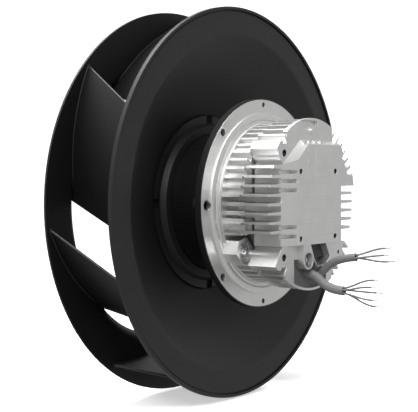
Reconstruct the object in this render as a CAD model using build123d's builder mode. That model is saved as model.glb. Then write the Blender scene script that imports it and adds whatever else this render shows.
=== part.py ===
"""Plug fan: a backward-curved wheel on an external-rotor motor with a finned electronics housing.

Sizes are in millimetres. The fan axis is the Y axis. The origin is the centre of the bolting
flange's outer face, the electronics lie towards -Y, the wheel and its inlet towards +Y, and
+Z is up. Angles are measured as seen from the motor side, from +X towards +Z.
"""

import os
from math import ceil, cos, floor, hypot, radians, sin, sqrt, tan

from build123d import *

os.makedirs("parts", exist_ok=True)

# Clearances
seat_gap = 0.3
fit_gap = 0.05

# Wheel: back disc
wheel_radius = 158.5
wheel_wall = 2.5
back_rim_y = 22.35
rim_bead_width = 2.5
rim_bead_height = 1.2
rim_groove_width = 1.0
rim_groove_depth = 0.8
dish_edge_radius = 136.2
dish_depth = 33.0
dish_bend_radius = 9.0
hub_ring_radius = 71.5
hub_ring_width = 6.3
hub_ring_height = 2.2
collar_height = 4.5
collar_slope = 2.4
ring_notch_width = 7.5
ring_notch_depth = 3.5

# Wheel: front shroud
shroud_wall = 2.0
shroud_rim_y = 87.4
shroud_cone_angle = 15.0
throat_radius = 113.0
throat_end_y = 110.4
throat_bend_radius = 13.5
lip_width = 1.6
lip_height = 2.6

# Wheel: blades, as setback and angle of both edges at the back disc and at the throat plane;
# leading edges are set back from the throat's radius, trailing edges from the rim
blade_count = 7
blade_thickness = 2.4
blade_bow = 10.0
lead_setback_back = -5.4
lead_angle_back = 197.0
trail_setback_back = 9.5
trail_angle_back = 152.5
lead_setback_front = 1.0
lead_angle_front = 176.7
trail_setback_front = 2.6
trail_angle_front = 130.5

# Wheel: hub plate and its screws
hub_plate_thickness = 4.0
hub_opening_radius = 19.0
hub_screw_count = 6
hub_screw_circle_radius = 41.0
hub_screw_radius = 2.5
hub_screw_head_radius = 4.6
hub_screw_head_height = 3.0
hub_screw_length = 7.0

# Rotor
rotor_radius = 56.0
rotor_wall = 3.2
rotor_open_y = 13.0
rotor_end_y = 66.0
rotor_end_thickness = 4.5
rotor_boss_radius = 7.8
magnet_thickness = 4.0
magnet_length = 34.0
air_gap = 0.6
shaft_radius = 6.0
circlip_width = 1.0
circlip_height = 1.5
circlip_groove = 0.7
shaft_tail = 2.0

# Ball bearings and the bearing tube
bearing_radius = 14.0
bearing_width = 8.0
bearing_ring_thickness = 2.2
ball_radius = 2.38
ball_count = 8
cage_width = 5.6
cage_thickness = 1.2
washer_thickness = 0.6
washer_width = 1.8
rear_bearing_y = 2.0
front_bearing_y = 50.0
tube_radius = 17.0
tube_shoulder_radius = 11.4
tube_overrun = 0.5

# Stator
tooth_count = 12
stack_length = 24.0
stack_y = 20.0
yoke_thickness = 7.5
tooth_width = 6.5
tooth_tip_thickness = 3.5
slot_opening = 3.0
coil_thickness = 2.6
coil_inner_radius = 27.0

# Bolting flange
flange_radius = 83.0
flange_thickness = 3.5
shoulder_radius = 72.7
shoulder_height = 2.5
shoulder_slope = 2.8
groove_radius = 66.8
groove_depth = 0.8
foot_radius = 64.6
foot_height = 4.6
main_hole_inset = 4.7
main_hole_radius = 2.9
side_hole_inset = 6.9
side_hole_radius = 3.8
pole_hole_inset = 4.1
pole_hole_radius = 2.0

# Ring behind the flange
ring_lip = 0.9
ring_lip_setback = 0.3
ring_base_thickness = 2.0
ring_inner_radius = 62.0
ring_rib_count = 36
ring_rib_height = 3.2
ring_rib_thickness = 1.4
ring_rib_setback = 0.8
ring_rib_inset = 3.0
ring_boss_radius = 6.9
ring_hole_relief = 0.8

# Housing castings: radial fins all round, level fins on the sides of the cover
parting_y = -20.5
gasket_thickness = 1.0
cover_face_y = -46.0
fin_turn_count = 54
fin_base_radius = 50.0
fin_pitch = 7.0
fin_root_thickness = 3.2
fin_tip_thickness = 1.7
fin_middle_z = 1.0
side_fin_low_z = -24.0
side_fin_radius = 62.0
block_fin_radius = 66.6
block_fin_height = 7.6
block_face_overhang = 0.6
flange_fin_radius = 63.6
face_right_x = 30.0
shelf_height = 8.0
flange_core_radius = 58.5
side_core_half_width = 44.5
side_top_z = 13.8
side_bottom_z = -31.0
left_top_z = 31.0
band_top_z = 6.6
band_bottom_z = -10.0
band_fin_radius = 55.5
band_core_half_width = 40.5
end_plate_thickness = 3.5
left_edge_x = -42.0
left_edge_low_x = -53.0
left_edge_low_z = -45.7
left_edge_top_x = -50.4
left_edge_top_z = 42.6
left_edge_run = 1.6
left_corner_low_x = -47.0
left_corner_top_x = -46.0
left_corner_z = 49.0
post_spacing_x = 80.0
post_spacing_z = 79.0
post_radius = 7.4
pillar_radius = 5.5
cavity_half_width = 36.0
cavity_half_height = 27.0
cavity_corner_radius = 12.0
cavity_floor_y = -1.0
cavity_roof_y = -42.5

# End pad of the cover
pad_height = 5.6
pad_right_x = 34.9
pad_left_x = -28.3
pad_top_z = 46.5
pad_bottom_z = -30.8
pad_cut_x = 13.3
pad_cut_z = 12.0
pad_slope_left = 14.7
pad_slope_top = 3.5
pad_slot_width = 2.6
pad_slot_end_x = -30.0
pad_slot_depth = 1.5
pad_line_spacing = 13.4
pad_line_count = 5
pad_line_middle_z = -1.5
pad_line_width = 0.8
pad_line_depth = 0.4
inner_hole_spacing_x = 51.2
inner_hole_spacing_z = 51.4
inner_hole_radius = 2.1
inner_hole_depth = 8.0
spare_hole_radius = 1.5
spare_hole_depth = 6.0
top_notch_x = -4.3
top_notch_inset = 3.7
top_notch_width = 22.6
top_notch_height = 4.4
top_notch_depth = 3.0
top_bump_x = -1.0
top_bump_z = 57.2
top_bump_radius = 2.8
top_bump_height = 1.4

# Cover screws, deep in three of the posts
cover_screw_radius = 1.5
cover_screw_head_radius = 2.6
cover_screw_head_height = 3.0
cover_screw_hole_radius = 2.75
cover_screw_seat_y = -28.0
cover_screw_length = 18.0

# Hexagonal boss with its screw
hex_boss_x = -49.5
hex_boss_z = -34.5
hex_boss_radius = 10.6
hex_boss_face_y = -16.0
hex_recess_radius = 6.4
hex_recess_depth = 3.4
hex_notch_margin = 2.0
boss_screw_radius = 4.9
boss_screw_height = 2.4
boss_screw_shank_radius = 2.0
boss_screw_length = 8.0

# Cable outlet, the pocket above it and the earth recess
outlet_left_x = -26.0
outlet_right_x = 21.0
outlet_top_z = -42.0
outlet_depth = 12.0
outlet_rim = 1.3
outlet_corner_radius = 2.5
grommet_setback = 3.5
pocket_top_left_x = -10.8
pocket_top_right_x = 11.2
pocket_side_left_x = -5.8
pocket_side_right_x = 17.4
pocket_side_z = -41.5
pocket_bottom_left_x = -0.8
pocket_bottom_right_x = 11.3
pocket_bottom_z = -47.4
pocket_depth = 10.5
pocket_wall = 1.3
insert_height = 5.0
insert_step_height = 2.2
earth_recess_x = -13.8
earth_recess_z = -42.6
earth_recess_radius = 5.8
earth_recess_depth = 9.0
earth_wall = 1.6
earth_screw_radius = 4.1
earth_screw_height = 3.4
earth_screw_shank_radius = 2.0
earth_screw_length = 4.0

# Circuit board and its parts
board_margin = 1.5
board_thickness = 1.6
spacer_height = 6.0
spacer_radius = 3.0
spacer_inset = 9.0
capacitor_radius = 9.0
capacitor_height = 24.0
capacitor_pitch = 20.0
capacitor_z = 12.0
choke_length = 26.0
choke_width = 14.0
choke_height = 16.0
choke_z = -13.0

# Cable stubs: jackets, and cores that start in a short hollow in the jacket's end
power_cable_radius = 3.6
signal_cable_radius = 3.1
cable_wall = 0.8
core_radius = 0.8
core_wire_radius = 0.5
core_wire_length = 6.0
core_hollow = 4.0
power_core_count = 5
signal_core_count = 3
power_core_circle_radius = 1.8
signal_core_circle_radius = 1.3
bend_share = 0.45
power_cable_route = [
    (-6.0, -34.0, -52.3),
    (-6.0, -50.5, -52.3),
    (-6.0, -64.5, -65.3),
    (-6.0, -78.1, -65.3),
]
signal_cable_route = [
    (6.5, -34.0, -57.0),
    (6.5, -47.8, -57.0),
    (6.5, -62.8, -42.0),
    (6.5, -81.5, -40.2),
]
core_straight = 2.0
core_fan = 17.0
core_reach = 6.4
core_side_spread = 2.4
power_core_spread = [9.6, 4.6, -5.2, -10.4, -0.2]
signal_core_spread = [5.6, 0.4, -4.8]

# Faces derived from the sizes above
band_y = back_rim_y + rim_bead_height
band_back_y = band_y + wheel_wall
bead_radius = wheel_radius - rim_bead_width
dish_slope = dish_depth / (dish_edge_radius - hub_ring_radius)
dish_wall_axial = wheel_wall * sqrt(1 + dish_slope**2)
dish_foot_y = band_y + dish_depth
ring_face_y = dish_foot_y - hub_ring_height
ring_inner_face_radius = hub_ring_radius - hub_ring_width
collar_face_y = ring_face_y - collar_height
collar_outer_radius = ring_inner_face_radius - collar_slope
collar_inner_radius = rotor_radius + seat_gap
hub_face_y = rotor_end_y + hub_plate_thickness
magnet_outer_radius = rotor_radius - rotor_wall
magnet_inner_radius = magnet_outer_radius - magnet_thickness
stack_radius = magnet_inner_radius - air_gap
rotor_floor_y = rotor_end_y - rotor_end_thickness
front_bearing_end_y = front_bearing_y + bearing_width
rear_bearing_end_y = rear_bearing_y + bearing_width
tube_end_y = front_bearing_end_y + tube_overrun
ball_circle_radius = (shaft_radius + bearing_radius) / 2
main_hole_circle_radius = flange_radius - main_hole_inset
side_hole_circle_radius = flange_radius - side_hole_inset
pole_hole_circle_radius = flange_radius - pole_hole_inset
ring_rib_end_radius = flange_radius - ring_rib_inset
ring_back_y = flange_thickness + ring_base_thickness
ring_radius = flange_radius + ring_lip
shoulder_y = -shoulder_height
foot_y = -foot_height
block_core_radius = block_fin_radius - block_fin_height
block_face_radius = block_fin_radius + block_face_overhang
top_notch_z = block_fin_radius - top_notch_inset
cover_foot_y = parting_y - gasket_thickness
cover_depth = cover_foot_y - cover_face_y
pad_face_y = cover_face_y - pad_height
outlet_floor_y = cover_face_y + outlet_depth
cover_screw_end_y = cover_screw_seat_y + cover_screw_length
board_y = cavity_floor_y - spacer_height
board_top_y = board_y - board_thickness
post_x = post_spacing_x / 2
post_z = post_spacing_z / 2


def station(y):
    """Plane square to the fan axis at axial place y, seen from the motor side."""
    return Plane.XZ.offset(-y)


def on_circle(radius, angle):
    """Point at a radius and an angle in degrees, in a station's own two coordinates."""
    return (radius * cos(radians(angle)), radius * sin(radians(angle)))


def outward(x, z):
    """Point twice as far from the fan axis, straight out from a given one."""
    return (2 * x, 2 * z)


def corners(half_x, half_z):
    """Four points at equal distances from both middle lines of the housing."""
    return [(side * half_x, level * half_z) for side in (-1, 1) for level in (-1, 1)]


post_places = corners(post_x, post_z)
spare_place = (post_x, -post_z)
screw_places = [place for place in post_places if place != spare_place]


# Back disc of the wheel, turned about the fan axis
with BuildPart() as wheel_back_disc:
    with BuildSketch(Plane.XY):
        with BuildLine():
            Polyline(
                (wheel_radius, back_rim_y),
                (wheel_radius, band_back_y),
                (dish_edge_radius, band_back_y),
                (hub_ring_radius, dish_foot_y + dish_wall_axial),
                (collar_outer_radius, hub_face_y),
                (hub_opening_radius, hub_face_y),
                (hub_opening_radius, rotor_end_y),
                (collar_inner_radius, rotor_end_y),
                (collar_inner_radius, collar_face_y),
                (collar_outer_radius, collar_face_y),
                (ring_inner_face_radius, ring_face_y),
                (hub_ring_radius, ring_face_y),
                (hub_ring_radius, dish_foot_y),
                (dish_edge_radius, band_y),
                (bead_radius - rim_groove_width, band_y),
                (bead_radius - rim_groove_width, band_y + rim_groove_depth),
                (bead_radius, band_y + rim_groove_depth),
                (bead_radius, back_rim_y),
                close=True,
            )
        make_face()
        bends = vertices().filter_by(lambda v: abs(v.X - dish_edge_radius) < seat_gap)
        fillet(bends, dish_bend_radius)
    revolve(axis=Axis.Y)
    with BuildSketch(station(ring_face_y)):
        with PolarLocations(hub_ring_radius - hub_ring_width / 2, 4):
            Rectangle(hub_ring_width, ring_notch_width)
    extrude(amount=-ring_notch_depth, mode=Mode.SUBTRACT)
    with BuildSketch(station(hub_face_y)):
        with PolarLocations(hub_screw_circle_radius, hub_screw_count):
            Circle(hub_screw_radius + fit_gap)
    extrude(amount=hub_plate_thickness, mode=Mode.SUBTRACT)
wheel_back_disc.part.label = "wheel_back_disc"
export_step(wheel_back_disc.part, "parts/wheel_back_disc.step")


def shroud_line(setback):
    """Run of the shroud wall from the rim to the throat, a setback outside its blade side."""
    slope = tan(radians(shroud_cone_angle))
    shift = setback / cos(radians(shroud_cone_angle))
    throat = throat_radius + setback
    corner_y = shroud_rim_y + shift + (wheel_radius - throat) * slope
    return [(wheel_radius, shroud_rim_y + shift), (throat, corner_y), (throat, throat_end_y)]


shroud_tangent = tan(radians(90 - shroud_cone_angle) / 2)
shroud_leg = throat_end_y - shroud_line(0)[1][1]
shroud_bend = min(throat_bend_radius, shroud_leg / shroud_tangent - fit_gap)

# Front shroud of the wheel, a cone that bends into the throat and ends in a small lip
with BuildPart() as wheel_shroud:
    with BuildSketch(Plane.XY):
        with BuildLine():
            FilletPolyline(shroud_line(0), radius=shroud_bend)
            outer = shroud_line(shroud_wall)
            Line(shroud_line(0)[2], outer[2])
            FilletPolyline(outer, radius=shroud_bend - shroud_wall)
            Line(outer[0], shroud_line(0)[0])
        make_face()
        with Locations((throat_radius + shroud_wall, throat_end_y)):
            Rectangle(lip_width, lip_height, align=(Align.MIN, Align.MAX))
    revolve(axis=Axis.Y)
wheel_shroud.part.label = "wheel_shroud"
export_step(wheel_shroud.part, "parts/wheel_shroud.step")


def blade_section(lead, trail):
    """Bowed centre line from the leading edge to the trailing edge of a blade section."""
    chord = hypot(trail[0] - lead[0], trail[1] - lead[1])
    outward = ((lead[1] - trail[1]) / chord, (trail[0] - lead[0]) / chord)
    middle = ((lead[0] + trail[0]) / 2, (lead[1] + trail[1]) / 2)
    crown = (middle[0] + blade_bow * outward[0], middle[1] + blade_bow * outward[1])
    return ThreePointArc(lead, crown, trail)


# Centre lines of a blade at the back disc and at the throat plane
back_section = blade_section(
    on_circle(throat_radius - lead_setback_back, lead_angle_back),
    on_circle(wheel_radius - trail_setback_back, trail_angle_back),
)
front_section = blade_section(
    on_circle(throat_radius - lead_setback_front, lead_angle_front),
    on_circle(wheel_radius - trail_setback_front, trail_angle_front),
)

# One blade: a twisted, bowed plate cut to the channel between the disc and the shroud
with BuildPart() as blade:
    for section_y, section in ((band_y, back_section), (throat_end_y, front_section)):
        with BuildSketch(station(section_y)):
            SlotArc(section, blade_thickness)
    loft(ruled=True)
    with BuildSketch(Plane.XY):
        with BuildLine():
            middle_line = shroud_line(shroud_wall / 2)
            back_middle_y = band_y + wheel_wall / 2
            FilletPolyline(middle_line, radius=shroud_bend - shroud_wall / 2)
            Polyline(
                middle_line[2],
                (hub_ring_radius, throat_end_y),
                (hub_ring_radius, dish_foot_y + dish_wall_axial / 2),
                (dish_edge_radius, back_middle_y),
                (wheel_radius, back_middle_y),
                middle_line[0],
            )
        make_face()
    revolve(axis=Axis.Y, mode=Mode.INTERSECT)
    add(wheel_back_disc.part, mode=Mode.SUBTRACT)
    add(wheel_shroud.part, mode=Mode.SUBTRACT)

for index in range(blade_count):
    with BuildPart() as wheel_blade:
        add(blade.part, rotation=(0, -index * 360 / blade_count, 0))
    wheel_blade.part.label = f"wheel_blade_{index + 1}"
    export_step(wheel_blade.part, f"parts/wheel_blade_{index + 1}.step")


# Screws that hold the hub plate on the rotor, all alike
with BuildPart() as wheel_screws:
    with BuildSketch(station(hub_face_y)):
        with PolarLocations(hub_screw_circle_radius, hub_screw_count):
            Circle(hub_screw_head_radius)
    extrude(amount=-hub_screw_head_height)
    with BuildSketch(station(hub_face_y)):
        with PolarLocations(hub_screw_circle_radius, hub_screw_count):
            Circle(hub_screw_radius)
    extrude(amount=hub_screw_length)
wheel_screws.part.label = "wheel_screws"
export_step(wheel_screws.part, "parts/wheel_screws.step")

# Rotor cup with the boss that seats on the front bearing
with BuildPart() as rotor_cup:
    with BuildSketch(Plane.XY):
        with BuildLine():
            Polyline(
                (rotor_radius, rotor_open_y),
                (rotor_radius, rotor_end_y),
                (shaft_radius, rotor_end_y),
                (shaft_radius, front_bearing_end_y),
                (rotor_boss_radius, front_bearing_end_y),
                (rotor_boss_radius, rotor_floor_y),
                (magnet_outer_radius, rotor_floor_y),
                (magnet_outer_radius, rotor_open_y),
                close=True,
            )
        make_face()
    revolve(axis=Axis.Y)
    with BuildSketch(station(rotor_end_y)):
        with PolarLocations(hub_screw_circle_radius, hub_screw_count):
            Circle(hub_screw_radius + fit_gap)
    extrude(amount=rotor_end_thickness, mode=Mode.SUBTRACT)
rotor_cup.part.label = "rotor_cup"
export_step(rotor_cup.part, "parts/rotor_cup.step")


def ring_part(label, inner, outer, y_start, y_end):
    """Write a plain ring about the fan axis and return its solid."""
    with BuildPart() as ring:
        with BuildSketch(station(y_start)):
            Circle(outer)
            Circle(inner, mode=Mode.SUBTRACT)
        extrude(amount=y_start - y_end)
    ring.part.label = label
    export_step(ring.part, f"parts/{label}.step")
    return ring.part


magnet_y = stack_y + (stack_length - magnet_length) / 2
ring_part(
    "magnet_ring", magnet_inner_radius, magnet_outer_radius, magnet_y, magnet_y + magnet_length
)

# Shaft with the groove for its circlip
circlip_end_y = rear_bearing_y
circlip_start_y = circlip_end_y - circlip_width
with BuildPart() as rotor_shaft:
    with BuildSketch(station(circlip_start_y - shaft_tail)):
        Circle(shaft_radius)
    extrude(amount=circlip_start_y - shaft_tail - rotor_end_y)
    with BuildSketch(station(circlip_start_y)):
        Circle(shaft_radius)
        Circle(shaft_radius - circlip_groove, mode=Mode.SUBTRACT)
    extrude(amount=-circlip_width, mode=Mode.SUBTRACT)
rotor_shaft.part.label = "rotor_shaft"
export_step(rotor_shaft.part, "parts/rotor_shaft.step")

# Circlip, an open ring in the groove
with BuildPart() as shaft_circlip:
    with BuildSketch(station(circlip_start_y)):
        Circle(shaft_radius + circlip_height)
        Circle(shaft_radius - circlip_groove, mode=Mode.SUBTRACT)
        with Locations((0, -shaft_radius)):
            Rectangle(shaft_radius, bearing_radius, mode=Mode.SUBTRACT)
    extrude(amount=-circlip_width)
shaft_circlip.part.label = "shaft_circlip"
export_step(shaft_circlip.part, "parts/shaft_circlip.step")

# Two ball bearings: rings with a ball groove, a cage with pockets, and the balls
cage_inner_radius = ball_circle_radius - cage_thickness / 2
cage_outer_radius = ball_circle_radius + cage_thickness / 2
for place, bearing_y in (("rear", rear_bearing_y), ("front", front_bearing_y)):
    middle_y = bearing_y + bearing_width / 2
    ring_faces = (
        ("inner", shaft_radius, shaft_radius + bearing_ring_thickness),
        ("outer", bearing_radius - bearing_ring_thickness, bearing_radius),
    )
    for side, inner_face, outer_face in ring_faces:
        with BuildPart() as race:
            with BuildSketch(Plane.XY):
                with Locations(((inner_face + outer_face) / 2, middle_y)):
                    Rectangle(outer_face - inner_face, bearing_width)
                with Locations((ball_circle_radius, middle_y)):
                    Circle(ball_radius + fit_gap, mode=Mode.SUBTRACT)
            revolve(axis=Axis.Y)
        race.part.label = f"{place}_bearing_{side}"
        export_step(race.part, f"parts/{place}_bearing_{side}.step")
    with BuildPart() as cage:
        with BuildSketch(station(middle_y - cage_width / 2)):
            Circle(cage_outer_radius)
            Circle(cage_inner_radius, mode=Mode.SUBTRACT)
        extrude(amount=-cage_width)
        with Locations(station(middle_y)):
            with PolarLocations(ball_circle_radius, ball_count):
                pocket_length = 2 * ball_radius
                Cylinder(
                    ball_radius + fit_gap, pocket_length, rotation=(0, 90, 0), mode=Mode.SUBTRACT
                )
    cage.part.label = f"{place}_bearing_cage"
    export_step(cage.part, f"parts/{place}_bearing_cage.step")
    with BuildPart() as balls:
        with Locations(station(middle_y)):
            with PolarLocations(ball_circle_radius, ball_count):
                Sphere(ball_radius)
    balls.part.label = f"{place}_bearing_balls"
    export_step(balls.part, f"parts/{place}_bearing_balls.step")

# Wave washer that preloads the rear bearing, drawn flat as it is when pressed
ring_part(
    "wave_washer",
    bearing_radius - washer_width,
    bearing_radius,
    rear_bearing_end_y,
    rear_bearing_end_y + washer_thickness,
)

# Stator stack: yoke, teeth and tooth tips with a slot between them
with BuildPart() as stator_stack:
    with BuildSketch(station(stack_y)):
        Circle(stack_radius)
        Circle(stack_radius - tooth_tip_thickness, mode=Mode.SUBTRACT)
        with PolarLocations(stack_radius, tooth_count, start_angle=180 / tooth_count):
            Rectangle(2 * (tooth_tip_thickness + seat_gap), slot_opening, mode=Mode.SUBTRACT)
        Circle(tube_radius + yoke_thickness)
        tooth_length = stack_radius - tube_radius - yoke_thickness
        with PolarLocations(tube_radius + yoke_thickness - fit_gap, tooth_count):
            Rectangle(tooth_length, tooth_width, align=(Align.MIN, Align.CENTER))
        Circle(tube_radius, mode=Mode.SUBTRACT)
    extrude(amount=-stack_length)
stator_stack.part.label = "stator_stack"
export_step(stator_stack.part, "parts/stator_stack.step")

# One coil on the tooth that points along +X, repeated on every tooth
stack_middle_y = stack_y + stack_length / 2
coil_height = stack_length + 2 * coil_thickness
coil_width = tooth_width + 2 * coil_thickness
coil_end_radius = sqrt((stack_radius - tooth_tip_thickness) ** 2 - (coil_width / 2) ** 2)
with BuildPart() as coil:
    with BuildSketch(Plane.YZ.offset(coil_inner_radius)):
        with Locations((stack_middle_y, 0)):
            RectangleRounded(coil_height, coil_width, coil_thickness)
            Rectangle(stack_length, tooth_width, mode=Mode.SUBTRACT)
    extrude(amount=coil_end_radius - coil_inner_radius - seat_gap)
with BuildPart() as stator_coils:
    for index in range(tooth_count):
        add(coil.part, rotation=(0, index * 360 / tooth_count, 0))
stator_coils.part.label = "stator_coils"
export_step(stator_coils.part, "parts/stator_coils.step")


def flange_holes(relief):
    """Sketch of the flange's eight through holes, each widened by a relief."""
    with BuildSketch() as holes:
        with PolarLocations(main_hole_circle_radius, 4, start_angle=45):
            Circle(main_hole_radius + relief)
        with PolarLocations(side_hole_circle_radius, 2):
            Circle(side_hole_radius + relief)
        with PolarLocations(pole_hole_circle_radius, 2, start_angle=90):
            Circle(pole_hole_radius + relief)
    return holes.sketch


# Inside of both castings
with BuildSketch() as cavity:
    RectangleRounded(2 * cavity_half_width, 2 * cavity_half_height, cavity_corner_radius)

# Section of one level fin, thick in the middle of the housing and thin at both tips
with BuildSketch() as fin:
    with BuildLine():
        Polyline(
            (-block_fin_radius, fin_tip_thickness / 2),
            (-cavity_half_width, fin_root_thickness / 2),
            (cavity_half_width, fin_root_thickness / 2),
            (block_fin_radius, fin_tip_thickness / 2),
            (block_fin_radius, -fin_tip_thickness / 2),
            (cavity_half_width, -fin_root_thickness / 2),
            (-cavity_half_width, -fin_root_thickness / 2),
            (-block_fin_radius, -fin_tip_thickness / 2),
            close=True,
        )
    make_face()


def fin_rows(low_z, high_z, shift=0.0):
    """Middles of the level fins between two heights, or of the gaps half a pitch above them."""
    start_z = fin_middle_z + shift
    first = ceil((low_z - start_z) / fin_pitch)
    last = floor((high_z - start_z) / fin_pitch)
    return [(0, start_z + row * fin_pitch) for row in range(first, last + 1)]


# Radial fins all round the housing, each thick at its root and thin at its tip
with BuildSketch() as radial_fin:
    with BuildLine():
        Polyline(
            (fin_base_radius, fin_root_thickness / 2),
            (block_fin_radius, fin_tip_thickness / 2),
            (block_fin_radius, -fin_tip_thickness / 2),
            (fin_base_radius, -fin_root_thickness / 2),
            close=True,
        )
    make_face()
with BuildSketch() as fin_crown:
    with PolarLocations(0, fin_turn_count):
        add(radial_fin.sketch)

# Level fins on the sides of the cover; those above the right step stand on the left side only
with BuildSketch() as side_fins:
    with Locations(*fin_rows(side_top_z, left_top_z)):
        add(fin.sketch)
    with Locations((0, side_top_z)):
        Rectangle(flange_radius, flange_radius, align=(Align.MIN, Align.MIN), mode=Mode.SUBTRACT)
    with Locations(*fin_rows(side_fin_low_z, side_top_z)):
        add(fin.sketch)
    Circle(side_fin_radius, mode=Mode.INTERSECT)


# Bolting flange with its shoulder, the finned lower half of the housing and the bearing tube
band_height = band_top_z - band_bottom_z
band_middle = (0, (band_top_z + band_bottom_z) / 2)
spacer_places = corners(cavity_half_width - spacer_inset, cavity_half_height - spacer_inset)
with BuildPart() as motor_flange:
    with BuildSketch(Plane.XY):
        with BuildLine():
            Polyline(
                (flange_radius, 0),
                (flange_radius, flange_thickness),
                (tube_radius, flange_thickness),
                (tube_radius, tube_end_y),
                (bearing_radius, tube_end_y),
                (bearing_radius, front_bearing_y),
                (tube_shoulder_radius, front_bearing_y),
                (tube_shoulder_radius, rear_bearing_end_y + washer_thickness),
                (bearing_radius, rear_bearing_end_y + washer_thickness),
                (bearing_radius, foot_y),
                (foot_radius, foot_y),
                (foot_radius, shoulder_y),
                (groove_radius - groove_depth, shoulder_y),
                (groove_radius, shoulder_y + groove_depth),
                (groove_radius + groove_depth, shoulder_y),
                (shoulder_radius - shoulder_slope, shoulder_y),
                (shoulder_radius, shoulder_y / 2),
                (shoulder_radius, 0),
                close=True,
            )
        make_face()
    revolve(axis=Axis.Y)
    with BuildSketch(station(foot_y)):
        add(fin_crown.sketch)
        Circle(flange_fin_radius, mode=Mode.INTERSECT)
        Circle(flange_core_radius)
        with Locations(band_middle):
            Rectangle(2 * flange_radius, band_height, mode=Mode.SUBTRACT)
            Rectangle(2 * band_core_half_width, band_height)
        with Locations(*fin_rows(band_bottom_z, band_top_z)):
            Rectangle(2 * band_fin_radius, fin_root_thickness)
    extrude(amount=foot_y - parting_y)
    with BuildSketch(station(foot_y)):
        with Locations((hex_boss_x, hex_boss_z)):
            Circle(hex_boss_radius + hex_notch_margin)
    extrude(amount=foot_y - parting_y, mode=Mode.SUBTRACT)
    with BuildSketch(station(shoulder_y)):
        with Locations((hex_boss_x, hex_boss_z)):
            RegularPolygon(hex_boss_radius, 6, rotation=15)
    extrude(amount=shoulder_y - hex_boss_face_y)
    with BuildSketch(station(foot_y)):
        with Locations(*post_places):
            Circle(pillar_radius)
    extrude(amount=foot_y - parting_y)
    with BuildSketch(station(cavity_floor_y)):
        add(cavity.sketch)
    extrude(amount=cavity_floor_y - parting_y, mode=Mode.SUBTRACT)
    with BuildSketch(station(cavity_floor_y)):
        with Locations(*spacer_places):
            Circle(spacer_radius)
    extrude(amount=spacer_height)
    with BuildSketch(station(hex_boss_face_y + hex_recess_depth)):
        with Locations((hex_boss_x, hex_boss_z)):
            Circle(hex_recess_radius)
    extrude(amount=hex_boss_face_y + hex_recess_depth - parting_y, mode=Mode.SUBTRACT)
    with BuildSketch(station(hex_boss_face_y + hex_recess_depth)):
        with Locations((hex_boss_x, hex_boss_z)):
            Circle(boss_screw_shank_radius + fit_gap)
    extrude(amount=-boss_screw_length, mode=Mode.SUBTRACT)
    with BuildSketch(station(parting_y)):
        with Locations(*screw_places):
            Circle(cover_screw_radius + fit_gap)
    extrude(amount=parting_y - cover_screw_end_y, mode=Mode.SUBTRACT)
    with BuildSketch(station(shoulder_y)):
        add(flange_holes(0))
    extrude(amount=shoulder_y - flange_thickness, mode=Mode.SUBTRACT)
motor_flange.part.label = "motor_flange"
export_step(motor_flange.part, "parts/motor_flange.step")

# Screw in the hexagonal boss
with BuildPart() as boss_screw:
    with BuildSketch(station(hex_boss_face_y + hex_recess_depth)):
        with Locations((hex_boss_x, hex_boss_z)):
            Circle(boss_screw_radius)
    extrude(amount=boss_screw_height)
    with BuildSketch(station(hex_boss_face_y + hex_recess_depth)):
        with Locations((hex_boss_x, hex_boss_z)):
            Circle(boss_screw_shank_radius)
    extrude(amount=-boss_screw_length)
boss_screw.part.label = "boss_screw"
export_step(boss_screw.part, "parts/boss_screw.step")

# Ring behind the flange, with a lip round its edge, radial ribs and two side bosses
with BuildPart() as flange_back_ring:
    with BuildSketch(Plane.XY):
        with BuildLine():
            Polyline(
                (ring_radius, ring_lip_setback),
                (ring_radius, ring_back_y),
                (ring_inner_radius, ring_back_y),
                (ring_inner_radius, flange_thickness),
                (flange_radius + fit_gap, flange_thickness),
                (flange_radius + fit_gap, ring_lip_setback),
                close=True,
            )
        make_face()
    revolve(axis=Axis.Y)
    with BuildSketch(station(ring_back_y)):
        rib_start = ring_inner_radius + ring_rib_setback
        rib_length = ring_rib_end_radius - rib_start
        with PolarLocations(rib_start, ring_rib_count, start_angle=180 / ring_rib_count):
            Rectangle(rib_length, ring_rib_thickness, align=(Align.MIN, Align.CENTER))
        with PolarLocations(side_hole_circle_radius, 2):
            Circle(ring_boss_radius)
    extrude(amount=-ring_rib_height)
    with BuildSketch(station(flange_thickness)):
        add(flange_holes(ring_hole_relief))
    extrude(amount=-ring_base_thickness - ring_rib_height, mode=Mode.SUBTRACT)
flange_back_ring.part.label = "flange_back_ring"
export_step(flange_back_ring.part, "parts/flange_back_ring.step")

# Gasket in the parting plane
with BuildPart() as housing_gasket:
    with BuildSketch(station(parting_y)):
        Circle(flange_core_radius)
        Rectangle(2 * band_core_half_width, 2 * flange_core_radius, mode=Mode.INTERSECT)
        with Locations((hex_boss_x, hex_boss_z)):
            Circle(hex_boss_radius + hex_notch_margin, mode=Mode.SUBTRACT)
        with Locations(*post_places):
            Circle(pillar_radius)
        add(cavity.sketch, mode=Mode.SUBTRACT)
        with Locations(*screw_places):
            Circle(cover_screw_radius + fit_gap, mode=Mode.SUBTRACT)
        with Locations((hex_boss_x, hex_boss_z)):
            Circle(hex_recess_radius, mode=Mode.SUBTRACT)
    extrude(amount=gasket_thickness)
housing_gasket.part.label = "housing_gasket"
export_step(housing_gasket.part, "parts/housing_gasket.step")

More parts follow.
